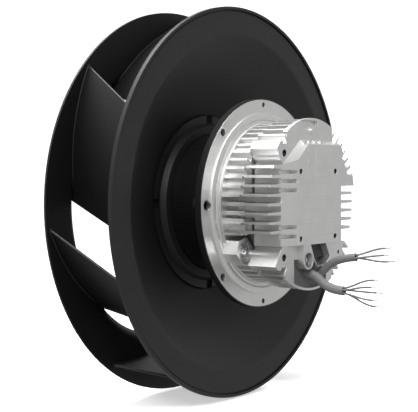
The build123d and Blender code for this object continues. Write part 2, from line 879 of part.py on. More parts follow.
# Trapezoid pocket above the cable outlet, and the wall that surrounds it
with BuildSketch() as pocket:
    with BuildLine():
        Polyline(
            (pocket_top_left_x, pad_bottom_z),
            (pocket_top_right_x, pad_bottom_z),
            (pocket_side_right_x, pocket_side_z),
            (pocket_bottom_right_x, pocket_bottom_z),
            (pocket_bottom_left_x, pocket_bottom_z),
            (pocket_side_left_x, pocket_side_z),
            close=True,
        )
    make_face()
with BuildSketch() as pocket_island:
    add(pocket.sketch)
    offset(amount=pocket_wall, kind=Kind.INTERSECTION)
    with Locations((earth_recess_x, earth_recess_z)):
        Circle(earth_recess_radius + earth_wall)
        Rectangle(
            2 * (earth_recess_radius + earth_wall),
            pad_bottom_z - earth_recess_z,
            align=(Align.CENTER, Align.MIN),
        )

# Cable outlet in the lower edge of the cover, closed outside by a thin rim
outlet_width = outlet_right_x - outlet_left_x
with BuildSketch() as outlet:
    with Locations((outlet_left_x, -flange_radius)):
        Rectangle(outlet_width, flange_radius + outlet_top_z, align=(Align.MIN, Align.MIN))
    Circle(block_fin_radius - outlet_rim, mode=Mode.INTERSECT)
    add(pocket_island.sketch, mode=Mode.SUBTRACT)

# Outline of the cover beside its left posts, where the casting steps inwards
with BuildSketch() as left_step:
    with BuildLine():
        Polyline(
            outward(left_edge_top_x - left_edge_run, left_edge_top_z),
            (left_edge_top_x - left_edge_run, left_edge_top_z),
            (left_edge_top_x, left_edge_top_z),
            (left_edge_x, left_top_z),
            (-side_core_half_width, left_top_z),
            (-side_core_half_width, side_bottom_z),
            (left_edge_x, side_bottom_z),
            (left_edge_low_x, left_edge_low_z),
            outward(left_edge_low_x, left_edge_low_z),
            close=True,
        )
    make_face()
right_step_x = sqrt(block_core_radius**2 - side_bottom_z**2)
with BuildSketch() as right_step:
    with BuildLine():
        Polyline(
            (2 * flange_radius, side_top_z),
            (side_core_half_width, side_top_z),
            (side_core_half_width, side_bottom_z),
            (right_step_x, side_bottom_z),
            outward(right_step_x, side_bottom_z),
            close=True,
        )
    make_face()

# Solid corners beside the left posts, and all four posts
with BuildSketch() as post_blocks:
    with BuildLine():
        Polyline(
            (left_edge_x, left_top_z),
            (left_edge_top_x, left_edge_top_z),
            (left_corner_top_x, left_corner_z),
            (-post_x, post_z),
            close=True,
        )
    make_face()
    with BuildLine():
        Polyline(
            (left_edge_x, side_bottom_z),
            (left_edge_low_x, left_edge_low_z),
            (left_corner_low_x, -left_corner_z),
            (-post_x, -post_z),
            close=True,
        )
    make_face()
    with Locations(*post_places):
        Circle(post_radius)

# Pad on the end face, with sloping left and upper sides
pad_corners = [
    (pad_right_x, pad_bottom_z),
    (pad_right_x, pad_top_z),
    (pad_left_x + pad_cut_x, pad_top_z),
    (pad_left_x, pad_top_z - pad_cut_z),
    (pad_left_x, pad_bottom_z),
]
pad_foot_corners = [
    (pad_right_x, pad_bottom_z),
    (pad_right_x, pad_top_z + pad_slope_top),
    (pad_left_x + pad_cut_x - pad_slope_top, pad_top_z + pad_slope_top),
    (pad_left_x - pad_slope_left, pad_top_z - pad_cut_z - pad_slope_top),
    (pad_left_x - pad_slope_left, pad_bottom_z),
]

# Gaps between the side fins that run on into the left slope of the pad
upper_gap_rows = fin_rows(band_top_z, left_top_z, fin_pitch / 2)
lower_gap_rows = fin_rows(side_fin_low_z, band_bottom_z, fin_pitch / 2)
pad_slot_rows = upper_gap_rows + lower_gap_rows

# Cover casting: side fins at full depth, round blocks above and below with an end plate
with BuildPart() as electronics_cover:
    with BuildSketch(station(cover_foot_y)):
        add(fin_crown.sketch)
        with Locations((side_core_half_width, side_top_z)):
            Rectangle(block_fin_radius, shelf_height, align=(Align.MIN, Align.MIN))
        Circle(block_fin_radius, mode=Mode.INTERSECT)
        Circle(block_core_radius)
        add(left_step.sketch, mode=Mode.SUBTRACT)
        add(right_step.sketch, mode=Mode.SUBTRACT)
        add(side_fins.sketch)
        add(post_blocks.sketch)
    extrude(amount=cover_depth)
    with BuildSketch(station(cover_face_y + end_plate_thickness)):
        Circle(block_face_radius)
        with Locations((face_right_x, 0)):
            Rectangle(
                block_face_radius,
                2 * block_face_radius,
                align=(Align.MAX, Align.CENTER),
                mode=Mode.INTERSECT,
            )
        Circle(block_core_radius)
        add(left_step.sketch, mode=Mode.SUBTRACT)
        add(right_step.sketch, mode=Mode.SUBTRACT)
    extrude(amount=end_plate_thickness)
    with BuildSketch(station(outlet_floor_y)):
        with Locations((outlet_left_x - outlet_rim, -flange_radius)):
            Rectangle(
                outlet_width + 2 * outlet_rim,
                flange_radius + outlet_top_z,
                align=(Align.MIN, Align.MIN),
            )
        Circle(block_fin_radius, mode=Mode.INTERSECT)
    extrude(amount=outlet_depth)
    with BuildSketch(station(outlet_floor_y)):
        add(outlet.sketch)
    extrude(amount=outlet_depth, mode=Mode.SUBTRACT)
    with BuildSketch(station(cavity_roof_y)):
        add(cavity.sketch)
    extrude(amount=cover_foot_y - cavity_roof_y, dir=(0, 1, 0), mode=Mode.SUBTRACT)
    with BuildSketch(station(cover_face_y)):
        with BuildLine():
            Polyline(*pad_foot_corners, close=True)
        make_face()
    with BuildSketch(station(pad_face_y)):
        with BuildLine():
            Polyline(*pad_corners, close=True)
        make_face()
    loft(ruled=True)
    with BuildSketch(station(cover_face_y + pad_slot_depth)):
        with Locations((pad_slot_end_x, 0)):
            with Locations(*pad_slot_rows):
                Rectangle(side_fin_radius, pad_slot_width, align=(Align.MAX, Align.CENTER))
    extrude(amount=pad_slot_depth + pad_height, mode=Mode.SUBTRACT)
    with BuildSketch(station(pad_face_y + pocket_depth)):
        add(pocket_island.sketch)
    extrude(amount=pocket_depth)
    with BuildSketch(station(pad_face_y + pocket_depth)):
        add(pocket.sketch)
    extrude(amount=pocket_depth, mode=Mode.SUBTRACT)
    with BuildSketch(station(pad_face_y + earth_recess_depth)):
        with Locations((earth_recess_x, earth_recess_z)):
            Circle(earth_recess_radius)
    extrude(amount=earth_recess_depth, mode=Mode.SUBTRACT)
    with BuildSketch(station(pad_face_y + earth_recess_depth)):
        with Locations((earth_recess_x, earth_recess_z)):
            Circle(earth_screw_shank_radius + fit_gap)
    extrude(amount=-earth_screw_length, mode=Mode.SUBTRACT)
    with BuildSketch(station(pad_face_y)):
        with Locations(*corners(inner_hole_spacing_x / 2, inner_hole_spacing_z / 2)):
            Circle(inner_hole_radius)
    extrude(amount=-inner_hole_depth, mode=Mode.SUBTRACT)
    with BuildSketch(station(cover_screw_seat_y)):
        with Locations(*screw_places):
            Circle(cover_screw_hole_radius)
    extrude(amount=cover_screw_seat_y - pad_face_y, mode=Mode.SUBTRACT)
    with BuildSketch(station(cover_foot_y)):
        with Locations(*screw_places):
            Circle(cover_screw_radius + fit_gap)
    extrude(amount=cover_foot_y - cover_screw_seat_y, mode=Mode.SUBTRACT)
    with BuildSketch(station(cover_face_y)):
        with Locations(spare_place):
            Circle(spare_hole_radius)
    extrude(amount=-spare_hole_depth, mode=Mode.SUBTRACT)
    with BuildSketch(station(cover_face_y)):
        with Locations((top_notch_x, top_notch_z)):
            Rectangle(top_notch_width, top_notch_height)
    extrude(amount=-top_notch_depth, mode=Mode.SUBTRACT)
    with BuildSketch(station(cover_face_y)):
        with Locations((top_bump_x, top_bump_z)):
            Circle(top_bump_radius)
    extrude(amount=top_bump_height)
    with BuildSketch(station(pad_face_y)):
        pad_middle_x = (pad_right_x + pad_left_x) / 2
        with Locations((pad_middle_x, pad_line_middle_z)):
            with GridLocations(0, pad_line_spacing, 1, pad_line_count):
                Rectangle(pad_right_x - pad_left_x, pad_line_width)
    extrude(amount=-pad_line_depth, mode=Mode.SUBTRACT)
electronics_cover.part.label = "electronics_cover"
export_step(electronics_cover.part, "parts/electronics_cover.step")

# Three screws that hold the cover, heads deep in the posts
with BuildPart() as cover_screws:
    with BuildSketch(station(cover_screw_seat_y)):
        with Locations(*screw_places):
            Circle(cover_screw_head_radius)
    extrude(amount=cover_screw_head_height)
    with BuildSketch(station(cover_screw_seat_y)):
        with Locations(*screw_places):
            Circle(cover_screw_radius)
    extrude(amount=-cover_screw_length)
cover_screws.part.label = "cover_screws"
export_step(cover_screws.part, "parts/cover_screws.step")

# Insert in the trapezoid pocket, lower below its step
with BuildPart() as pocket_insert:
    with BuildSketch(station(pad_face_y + pocket_depth)):
        add(pocket.sketch)
    extrude(amount=insert_step_height)
    with BuildSketch(station(pad_face_y + pocket_depth)):
        add(pocket.sketch)
        with Locations((0, pocket_side_z)):
            Rectangle(
                2 * flange_radius, flange_radius, align=(Align.CENTER, Align.MAX), mode=Mode.SUBTRACT
            )
    extrude(amount=insert_height)
pocket_insert.part.label = "pocket_insert"
export_step(pocket_insert.part, "parts/pocket_insert.step")

# Earth screw in its round recess
with BuildPart() as earth_screw:
    with BuildSketch(station(pad_face_y + earth_recess_depth)):
        with Locations((earth_recess_x, earth_recess_z)):
            Circle(earth_screw_radius)
    extrude(amount=earth_screw_height)
    with BuildSketch(station(pad_face_y + earth_recess_depth)):
        with Locations((earth_recess_x, earth_recess_z)):
            Circle(earth_screw_shank_radius)
    extrude(amount=-earth_screw_length)
earth_screw.part.label = "earth_screw"
export_step(earth_screw.part, "parts/earth_screw.step")

# Circuit board on the four spacers, with capacitors and a choke
board_size = (2 * (cavity_half_width - board_margin), 2 * (cavity_half_height - board_margin))
with BuildPart() as circuit_board:
    with BuildSketch(station(board_y)):
        RectangleRounded(*board_size, cavity_corner_radius - board_margin)
    extrude(amount=board_thickness)
circuit_board.part.label = "circuit_board"
export_step(circuit_board.part, "parts/circuit_board.step")

with BuildPart() as capacitors:
    with BuildSketch(station(board_top_y)):
        with Locations((0, capacitor_z)):
            with GridLocations(capacitor_pitch, 0, 3, 1):
                Circle(capacitor_radius)
    extrude(amount=capacitor_height)
capacitors.part.label = "capacitors"
export_step(capacitors.part, "parts/capacitors.step")

with BuildPart() as filter_choke:
    with BuildSketch(station(board_top_y)):
        with Locations((0, choke_z)):
            Rectangle(choke_length, choke_width)
    extrude(amount=choke_height)
filter_choke.part.label = "filter_choke"
export_step(filter_choke.part, "parts/filter_choke.step")


def bend_radii(route):
    """Largest smooth radius at every inner point of a cable's route."""
    points = [Vector(*point) for point in route]
    radii = []
    for before, corner, after in zip(points, points[1:], points[2:]):
        run_in = corner - before
        run_out = after - corner
        half_turn = radians(run_in.get_angle(run_out)) / 2
        radii.append(bend_share * min(run_in.length, run_out.length) / tan(half_turn))
    return radii


def core_route(jacket_route, offset_x, offset_z, spread_z):
    """Route of one core from the hollow's floor to the end of its sleeve, and its wire's end."""
    end = Vector(*jacket_route[-1])
    along = (end - Vector(*jacket_route[-2])).normalized()
    across = Vector(1, 0, 0)
    up = along.cross(across)
    up = up if up.Z > 0 else up * -1
    side = offset_x * core_side_spread
    places = (
        (-core_hollow, offset_x, offset_z),
        (core_straight, offset_x, offset_z),
        (core_straight + core_fan, side, spread_z),
        (core_straight + core_fan + core_reach, side, spread_z),
    )
    return [end + along * s + across * x + up * z for s, x, z in places], along


cables = (
    ("power", power_cable_route, power_cable_radius, power_core_circle_radius, power_core_spread),
    ("signal", signal_cable_route, signal_cable_radius, signal_core_circle_radius, signal_core_spread),
)

# Cable outlet grommet, with a hole for each cable
with BuildPart() as cable_grommet:
    with BuildSketch(station(outlet_floor_y)):
        add(outlet.sketch)
        for name, route, radius, core_circle, spread in cables:
            with Locations((route[0][0], route[0][2])):
                Circle(radius + fit_gap, mode=Mode.SUBTRACT)
    extrude(amount=outlet_depth - grommet_setback)
cable_grommet.part.label = "cable_grommet"
export_step(cable_grommet.part, "parts/cable_grommet.step")

# Cable stubs: jackets with a hollow end, cores that fan out of it, and their bare wires
for name, route, radius, core_circle, spread in cables:
    jacket_radii = bend_radii(route)
    print(name, "jacket radii", [round(value, 2) for value in jacket_radii])
    with BuildPart() as jacket:
        with BuildLine() as jacket_line:
            FilletPolyline(*route, radius=jacket_radii)
        with BuildSketch(Plane(origin=jacket_line.line @ 0, z_dir=jacket_line.line % 0)):
            Circle(radius)
        sweep()
        with BuildSketch(Plane(origin=jacket_line.line @ 1, z_dir=jacket_line.line % 1)):
            Circle(radius - cable_wall)
        extrude(amount=-core_hollow, mode=Mode.SUBTRACT)
    jacket.part.label = f"{name}_cable"
    export_step(jacket.part, f"parts/{name}_cable.step")
    wires = []
    for index, spread_z in enumerate(spread):
        offset_x, offset_z = on_circle(core_circle, 90 + index * 360 / len(spread))
        points, along = core_route(route, offset_x, offset_z, spread_z)
        core_radii = bend_radii(points)
        print(name, "core", index + 1, "radii", [round(value, 2) for value in core_radii])
        with BuildPart() as core:
            with BuildLine() as core_line:
                FilletPolyline(*points, radius=core_radii)
            with BuildSketch(Plane(origin=core_line.line @ 0, z_dir=core_line.line % 0)):
                Circle(core_radius)
            sweep()
        core.part.label = f"{name}_core_{index + 1}"
        export_step(core.part, f"parts/{name}_core_{index + 1}.step")
        with BuildPart() as wire:
            with BuildSketch(Plane(origin=core_line.line @ 1, z_dir=core_line.line % 1)):
                Circle(core_wire_radius)
            extrude(amount=core_wire_length)
        wires.append(wire.part)
    with BuildPart() as wire_ends:
        add(wires)
    wire_ends.part.label = f"{name}_core_ends"
    export_step(wire_ends.part, f"parts/{name}_core_ends.step")
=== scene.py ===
"""Looks of the plug fan: finishes, softened castings, screws, cable stubs, light and camera."""

import logging
import math
from dataclasses import dataclass
from enum import Enum
from functools import cache

import bmesh
import bpy
from mathutils import Matrix, Vector
from mathutils.bvhtree import BVHTree


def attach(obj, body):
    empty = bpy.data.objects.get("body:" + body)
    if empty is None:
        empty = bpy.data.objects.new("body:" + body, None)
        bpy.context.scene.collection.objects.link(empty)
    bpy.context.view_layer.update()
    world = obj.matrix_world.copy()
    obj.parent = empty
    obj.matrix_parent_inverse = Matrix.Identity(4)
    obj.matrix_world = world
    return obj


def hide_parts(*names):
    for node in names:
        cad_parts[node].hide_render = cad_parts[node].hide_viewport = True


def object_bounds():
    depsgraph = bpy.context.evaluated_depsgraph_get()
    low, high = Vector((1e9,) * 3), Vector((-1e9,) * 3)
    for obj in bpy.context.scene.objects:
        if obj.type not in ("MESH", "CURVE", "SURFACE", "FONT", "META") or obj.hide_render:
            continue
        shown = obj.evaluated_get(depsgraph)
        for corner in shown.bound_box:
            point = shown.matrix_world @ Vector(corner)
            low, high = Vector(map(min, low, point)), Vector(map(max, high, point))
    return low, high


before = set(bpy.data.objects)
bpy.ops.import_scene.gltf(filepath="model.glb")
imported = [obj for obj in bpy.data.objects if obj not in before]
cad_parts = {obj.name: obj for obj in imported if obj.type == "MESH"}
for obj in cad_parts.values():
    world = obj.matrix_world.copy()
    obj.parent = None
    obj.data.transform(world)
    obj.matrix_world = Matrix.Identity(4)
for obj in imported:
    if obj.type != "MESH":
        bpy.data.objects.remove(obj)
CAD_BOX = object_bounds()
LOG = logging.getLogger("plug_fan")
MM = 0.001

# Vertices nearer than this are one
MERGE_MM = 0.002
# Vertices this near to the groove's level lie in it
LEVEL_MM = 0.01
# Faces that turn less than this against each other make one flat face
FLAT_DEG = 0.05
# Depth of a face that takes a rounding, and length of an edge that turns off at its end,
# in widths of the rounding
FACE_ROOM = 1.4
CORNER_ROOM = 2.2
# An edge that turns less than about 30 degrees goes on along its neighbour
GOES_ON_COSINE = 0.87
# A face counts as turned over when its normal departs this far from the shape's
TURNED_COSINE = -0.2
# A face counts as drawn out at this distance, in widths of the rounding
DRAWN_OUT = 2.0
# A faulty face smaller than this can't be seen
FAULT_AREA_MM2 = 0.3
# Edges this near to a fault stay sharp
FAULT_REACH_MM = 6.0
# The pad's points are sorted along this, where no two are level
SLANT = Vector((0.617, 0.283, 0.734))


def linear(hex_colour: str) -> tuple[float, float, float, float]:
    """Turn an sRGB hex colour into linear RGBA.

    Args:
        hex_colour: Six hex digits, with or without a leading hash.

    Returns:
        Linear red, green, blue and an alpha of one.
    """
    digits = hex_colour.lstrip("#")
    parts = [int(digits[i : i + 2], 16) / 255 for i in (0, 2, 4)]
    values = [p / 12.92 if p <= 0.04045 else ((p + 0.055) / 1.055) ** 2.4 for p in parts]
    return (values[0], values[1], values[2], 1.0)


def add_node(
    tree: bpy.types.NodeTree, kind: str, settings: dict | None = None, links: dict | None = None
) -> bpy.types.Node:
    """Add one shader node with its settings and its incoming links.

    Args:
        tree: Node tree that the node joins.
        kind: Identifier of the node's type.
        settings: Property or input names with their values.
        links: Input names or numbers with the output sockets that feed them.

    Returns:
        The new node.
    """
    node = tree.nodes.new(kind)
    for name, value in (settings or {}).items():
        if name in node.inputs:
            node.inputs[name].default_value = value
        else:
            setattr(node, name, value)
    for name, socket in (links or {}).items():
        tree.links.new(socket, node.inputs[name])
    return node


@dataclass(frozen=True)
class Finish:
    """A finish with a mottled colour and a grain that raises the surface.

    Attributes:
        name: Name of the material.
        slot: Slot of the record that the finish belongs to; not used.
        light: sRGB hex colour of the lighter patches.
        dark: sRGB hex colour of the darker patches.
        roughness: Middle of the roughness range.
        roughness_swing: How far the roughness swings with the patches.
        metallic: One for bare metal, nothing for the rest.
        patch_mm: Size of the patches in the colour.
        grain_mm: Size of the grain that the light catches.
        grain_height_mm: Height of that grain.
        specular: Strength of the dielectric reflection.
    """

    name: str
    slot: str
    light: str
    dark: str
    roughness: float
    roughness_swing: float = 0.05
    metallic: float = 0.0
    patch_mm: float = 20.0
    grain_mm: float = 1.2
    grain_height_mm: float = 0.02
    specular: float = 0.5

    def build(self) -> bpy.types.Material:
        """Build the material.

        Returns:
            The finished material, patterned in object space.
        """
        material = bpy.data.materials.new(self.name)
        material.use_nodes = True
        tree = material.node_tree
        tree.nodes.clear()
        place = add_node(tree, "ShaderNodeTexCoord").outputs["Object"]
        patches = add_node(
            tree,
            "ShaderNodeTexNoise",
            {"Scale": 1 / (self.patch_mm * MM), "Detail": 4.0, "Roughness": 0.6},
            {"Vector": place},
        )
        grain = add_node(
            tree,
            "ShaderNodeTexNoise",
            {"Scale": 1 / (self.grain_mm * MM), "Detail": 2.0},
            {"Vector": place},
        )
        colour = add_node(
            tree,
            "ShaderNodeMix",
            {"data_type": "RGBA"},
            {0: patches.outputs["Fac"]},
        )
        colour.inputs[6].default_value = linear(self.dark)
        colour.inputs[7].default_value = linear(self.light)
        rough = add_node(
            tree,
            "ShaderNodeMapRange",
            {
                "From Min": 0.3,
                "From Max": 0.7,
                "To Min": self.roughness - self.roughness_swing,
                "To Max": self.roughness + self.roughness_swing,
            },
            {"Value": grain.outputs["Fac"]},
        )
        relief = add_node(
            tree,
            "ShaderNodeBump",
            {"Strength": 1.0, "Distance": self.grain_height_mm * MM},
            {"Height": grain.outputs["Fac"]},
        )
        shader = add_node(
            tree,
            "ShaderNodeBsdfPrincipled",
            {"Metallic": self.metallic},
            {
                "Base Color": colour.outputs[2],
                "Roughness": rough.outputs["Result"],
                "Normal": relief.outputs["Normal"],
            },
        )
        if self.metallic == 0.0:
            shader.inputs["Specular IOR Level"].default_value = self.specular
        add_node(tree, "ShaderNodeOutputMaterial", None, {"Surface": shader.outputs["BSDF"]})
        return material


class Kind(Enum):
    """Finishes of the fan's pieces."""

    # Glass-filled polyamide, moulded in a spark-eroded tool: black with a dull, even sheen
    WHEEL = Finish(
        "moulded polyamide", "wheel_plastic", "#161617", "#111112", 0.5, 0.05,
        patch_mm=60, grain_mm=1.0, grain_height_mm=0.012, specular=0.42,
    )
    # The same plastic in a finer tool: a little darker and smoother
    RING = Finish(
        "moulded guard ring", "ring_plastic", "#141415", "#0f0f10", 0.45, 0.04,
        patch_mm=30, grain_mm=0.8, grain_height_mm=0.01, specular=0.4,
    )
    # Pressure die-cast aluminium, blasted: bright grey, with faint flow patches and fine grit
    CASTING = Finish(
        "blasted die-cast aluminium", "cast_aluminium", "#e4e4e3", "#d2d2d1", 0.42, 0.06,
        metallic=1.0, patch_mm=14, grain_mm=0.9, grain_height_mm=0.018,
    )
    # Deep-drawn steel, powder coated black: smooth with a soft shine
    ROTOR = Finish(
        "powder-coated steel", "rotor_steel", "#111112", "#0c0c0d", 0.4, 0.04,
        patch_mm=40, grain_mm=1.5, grain_height_mm=0.02,
    )
    # Sintered ferrite: dark grey and matt
    MAGNET = Finish("sintered ferrite", "magnet", "#3a3a3c", "#2c2c2e", 0.6, 0.05, patch_mm=8)
    # Zinc-plated steel: bright, slightly milky
    SCREW = Finish(
        "zinc-plated steel", "screw_steel", "#d8dadb", "#c2c4c6", 0.28, 0.05,
        metallic=1.0, patch_mm=3, grain_mm=0.5, grain_height_mm=0.004,
    )
    # The same screws blackened, deep in their holes
    DARK_SCREW = Finish(
        "blackened steel", "screw_steel", "#2a2a2b", "#1f1f20", 0.4, 0.05,
        metallic=1.0, patch_mm=3, grain_mm=0.5, grain_height_mm=0.004,
    )
    # Cut thread with cutting oil left in it: dark partly from the oil and partly from painted
    # shade for the depth of the holes, with a dull shine on its ridges
    OILED_AND_SHADED_THREAD = Finish(
        "oiled cut thread with painted shade", "cast_aluminium", "#3c3c3c", "#242424", 0.45, 0.08,
        metallic=1.0, patch_mm=3, grain_mm=0.4, grain_height_mm=0.01,
    )
    # Ground bearing steel: clean and shiny
    BEARING = Finish(
        "ground bearing steel", "bearing_steel", "#c9cacc", "#b9babd", 0.2, 0.04,
        metallic=1.0, patch_mm=5, grain_mm=0.5, grain_height_mm=0.003,
    )
    # Stamped brass: warm and satin
    CAGE = Finish(
        "stamped brass", "cage_brass", "#cfae6a", "#b9985a", 0.3, 0.05,
        metallic=1.0, patch_mm=4, grain_mm=0.6, grain_height_mm=0.004,
    )
    # Stacked electrical sheet, varnished: dark grey metal
    LAMINATION = Finish(
        "varnished electrical sheet", "core_iron", "#6c6c6f", "#56565a", 0.45, 0.06,
        metallic=1.0, patch_mm=6, grain_mm=0.7, grain_height_mm=0.01,
    )
    # Enamelled copper wire: red brown with a gloss
    COPPER = Finish(
        "enamelled copper", "winding", "#c06a3c", "#9c4f2b", 0.3, 0.06,
        metallic=1.0, patch_mm=4, grain_mm=0.9, grain_height_mm=0.05,
    )
    # Silicone gasket: grey and matt, hardly darker than the castings' shaded sides
    GASKET = Finish("silicone gasket", "gasket", "#b4b4b4", "#a2a2a2", 0.7, 0.04, patch_mm=4)
    # Moulded rubber: dark grey, matt with a faint bloom
    GROMMET = Finish(
        "moulded rubber", "grommet", "#6a6a6a", "#5c5c5c", 0.68, 0.05,
        patch_mm=9, grain_mm=0.8, grain_height_mm=0.015, specular=0.3,
    )
    # Polybutylene terephthalate: dark grey and satin
    INSERT = Finish(
        "moulded terminal insert", "insert_plastic", "#383838", "#2e2e2e", 0.55, 0.05,
        patch_mm=8, grain_mm=0.8, grain_height_mm=0.01, specular=0.35,
    )
    # Solder mask on glass epoxy: green with a shine
    BOARD = Finish("solder mask", "board", "#1f6b3c", "#185a31", 0.3, 0.04, patch_mm=10)
    # Shrink sleeve on aluminium cans: black gloss
    CAPACITOR = Finish(
        "shrink sleeve", "capacitor", "#26262b", "#1d1d22", 0.3, 0.04, patch_mm=9
    )
    # Soft polyvinyl chloride jacket: mid grey, matt, with drawing marks too fine to show
    JACKET = Finish(
        "grey cable jacket", "jacket", "#767676", "#686868", 0.55, 0.05,
        patch_mm=12, grain_mm=1.0, grain_height_mm=0.02, specular=0.4,
    )
    # Thin core insulation: grey and slightly glossy
    SLEEVE = Finish(
        "grey core sleeve", "core_sleeve", "#7c7c7c", "#6c6c6c", 0.42, 0.04,
        patch_mm=6, grain_mm=0.8, grain_height_mm=0.005, specular=0.5,
    )
    # Tinned copper strands: dull silver
    WIRE = Finish(
        "tinned strands", "wire", "#bdbdbd", "#a5a5a5", 0.38, 0.06,
        metallic=1.0, patch_mm=2, grain_mm=0.3, grain_height_mm=0.03,
    )


@cache
def material_of(kind: Kind) -> bpy.types.Material:
    """Return the material of a finish, built at its first use.

    Args:
        kind: The finish.

    Returns:
        Its material.
    """
    return kind.value.build()


def dress(piece: bpy.types.Object, kind: Kind) -> None:
    """Give a piece one finish in its only material slot.

    Args:
        piece: Object that takes the finish.
        kind: The finish.
    """
    piece.data.materials.clear()
    piece.data.materials.append(material_of(kind))


def dress_nodes(kind: Kind, *nodes: str) -> None:
    """Give CAD nodes that keep their own mesh one finish.

    Args:
        kind: The finish.
        nodes: Names of the nodes.
    """
    for node in nodes:
        dress(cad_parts[node], kind)


def new_piece(
    name: str, shape: bmesh.types.BMesh | bpy.types.Curve, body: str, kind: Kind
) -> bpy.types.Object:
    """Make a dressed object of a bmesh or a curve and let it ride on a body.

    Args:
        name: Name of the piece.
        shape: The shape, in metres, in the part's frame; a bmesh is freed.
        body: Body that carries the piece.
        kind: Finish of the piece.

    Returns:
        The new object.
    """
    data = shape
    if isinstance(shape, bmesh.types.BMesh):
        data = bpy.data.meshes.new(name)
        shape.to_mesh(data)
        shape.free()
    piece = bpy.data.objects.new(name, data)
    bpy.context.scene.collection.objects.link(piece)
    dress(piece, kind)
    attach(piece, body)
    return piece


def tube_curve(name: str, sides: int, caps: bool) -> bpy.types.Curve:
    """Start a curve whose points give a tube its radius.

    The curve's box grows by its points' radius, so they carry it and the bevel's depth is one.

    Args:
        name: Name of the curve.
        sides: How finely the tube is rounded.
        caps: Whether its ends are closed.

    Returns:
        The curve, without splines.
    """
    curve = bpy.data.curves.new(name, "CURVE")
    curve.dimensions = "3D"
    curve.bevel_depth = 1.0
    curve.bevel_resolution = sides
    curve.use_fill_caps = caps
    return curve


def turn(
    mesh: bmesh.types.BMesh,
    outline_mm: list[tuple[float, float]],
    middle_mm: tuple[float, float, float],
    steps: int,
    closed: bool,
) -> None:
    """Turn an outline full circle round an axis along Y.

    Laid ring by ring, because Blender's own turning has another order on each run.

    Args:
        mesh: Mesh that takes the shape.
        outline_mm: Radius and axial place of each point, as seen from the middle.
        middle_mm: Middle of the shape.
        steps: Sides of the turned shape.
        closed: Whether the outline closes on itself.
    """
    middle = Vector(middle_mm) * MM
    rings = []
    for step in range(steps):
        turned = Matrix.Rotation(2 * math.pi * step / steps, 3, "Y")
        places = [middle + turned @ Vector((r, y, 0)) * MM for r, y in outline_mm]
        rings.append([mesh.verts.new(place) for place in places])
    for ring, after in zip(rings, rings[1:] + rings[:1]):
        pairs = list(zip(ring, after))
        ends = pairs[1:] + pairs[:1] if closed else pairs[1:]
        for (a, b), (d, c) in zip(pairs, ends):
            mesh.faces.new((a, b, c, d))
    bmesh.ops.remove_doubles(mesh, verts=mesh.verts, dist=MERGE_MM * MM)
    bmesh.ops.recalc_face_normals(mesh, faces=mesh.faces)


def can_round(edge: bmesh.types.BMEdge, size: float, limit: float) -> bool:
    """Say whether an edge stands out, is sharp, and has room for a rounding.

    Args:
        edge: The edge.
        size: Width of the rounding on each of its faces.
        limit: Angle between two faces from which their edge counts as sharp.

    Returns:
        True where both faces are deep enough and no short edge turns off at its ends.
    """
    if len(edge.link_faces) != 2 or not edge.is_convex or edge.calc_face_angle() <= limit:
        return False
    start = edge.verts[0].co
    along = (edge.verts[1].co - start).normalized()
    for loop in edge.link_loops:
        offsets = [v.co - start for v in loop.face.verts]
        if max((o - along * o.dot(along)).length for o in offsets) < FACE_ROOM * size:
            return False
        for other in (loop.link_loop_prev.edge, loop.link_loop_next.edge):
            way = (other.verts[1].co - other.verts[0].co).normalized()
            turns_off = abs(way.dot(along)) < GOES_ON_COSINE
            if turns_off and other.calc_length() < CORNER_ROOM * size:
                return False
    return True


def merged_copy(node: str, level_y_mm: tuple[float, float] | None) -> bmesh.types.BMesh:
    """Copy a node's mesh, merged, with its flat faces cut into as few pieces as will do.

    Args:
        node: Name of the node.
        level_y_mm: Axial place of grooves and of the face that they are levelled with.

    Returns:
        The merged copy.
    """
    mesh = bmesh.new()
    mesh.from_mesh(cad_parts[node].data)
    bmesh.ops.remove_doubles(mesh, verts=mesh.verts, dist=MERGE_MM * MM)
    if level_y_mm:
        for vert in mesh.verts:
            if abs(vert.co.y - level_y_mm[0] * MM) < LEVEL_MM * MM:
                vert.co.y = level_y_mm[1] * MM
        bmesh.ops.remove_doubles(mesh, verts=mesh.verts, dist=MERGE_MM * MM)
    bmesh.ops.dissolve_limit(
        mesh, angle_limit=math.radians(FLAT_DEG), verts=mesh.verts, edges=mesh.edges
    )
    bmesh.ops.triangulate(mesh, faces=[f for f in mesh.faces if len(f.verts) > 4])
    return mesh


def round_edges(
    mesh: bmesh.types.BMesh, size: float, limit: float, faults: list[Vector]
) -> None:
    """Round the sharp edges that have room for it and lie away from the faults.

    Args:
        mesh: The shape.
        size: Width of the rounding on each face.
        limit: Angle between two faces from which their edge counts as sharp.
        faults: Places whose surroundings stay sharp.
    """
    reach = FAULT_REACH_MM * MM
    edges = [
        e
        for e in mesh.edges
        if can_round(e, size, limit)
        and not any((v.co - place).length < reach for v in e.verts for place in faults)
    ]
    bmesh.ops.bevel(
        mesh, geom=edges, offset=size, offset_type="OFFSET", affect="EDGES", segments=2,
        profile=0.5, clamp_overlap=False, loop_slide=False, material=-1,
    )


def turned_faces(mesh: bmesh.types.BMesh, surface: BVHTree, size: float) -> list[Vector]:
    """Find faces that a rounding turned over or drew out of the shape.

    Args:
        mesh: The rounded shape.
        surface: The shape before.
        size: Width of the rounding.

    Returns:
        The middles of the faulty faces.
    """
    mesh.normal_update()
    middles = []
    for face in mesh.faces:
        middle = face.calc_center_median()
        _, normal, _, distance = surface.find_nearest(middle)
        faulty = face.normal.dot(normal) < TURNED_COSINE or distance > DRAWN_OUT * size
        if faulty and face.calc_area() > FAULT_AREA_MM2 * MM**2:
            middles.append(middle)
    return middles


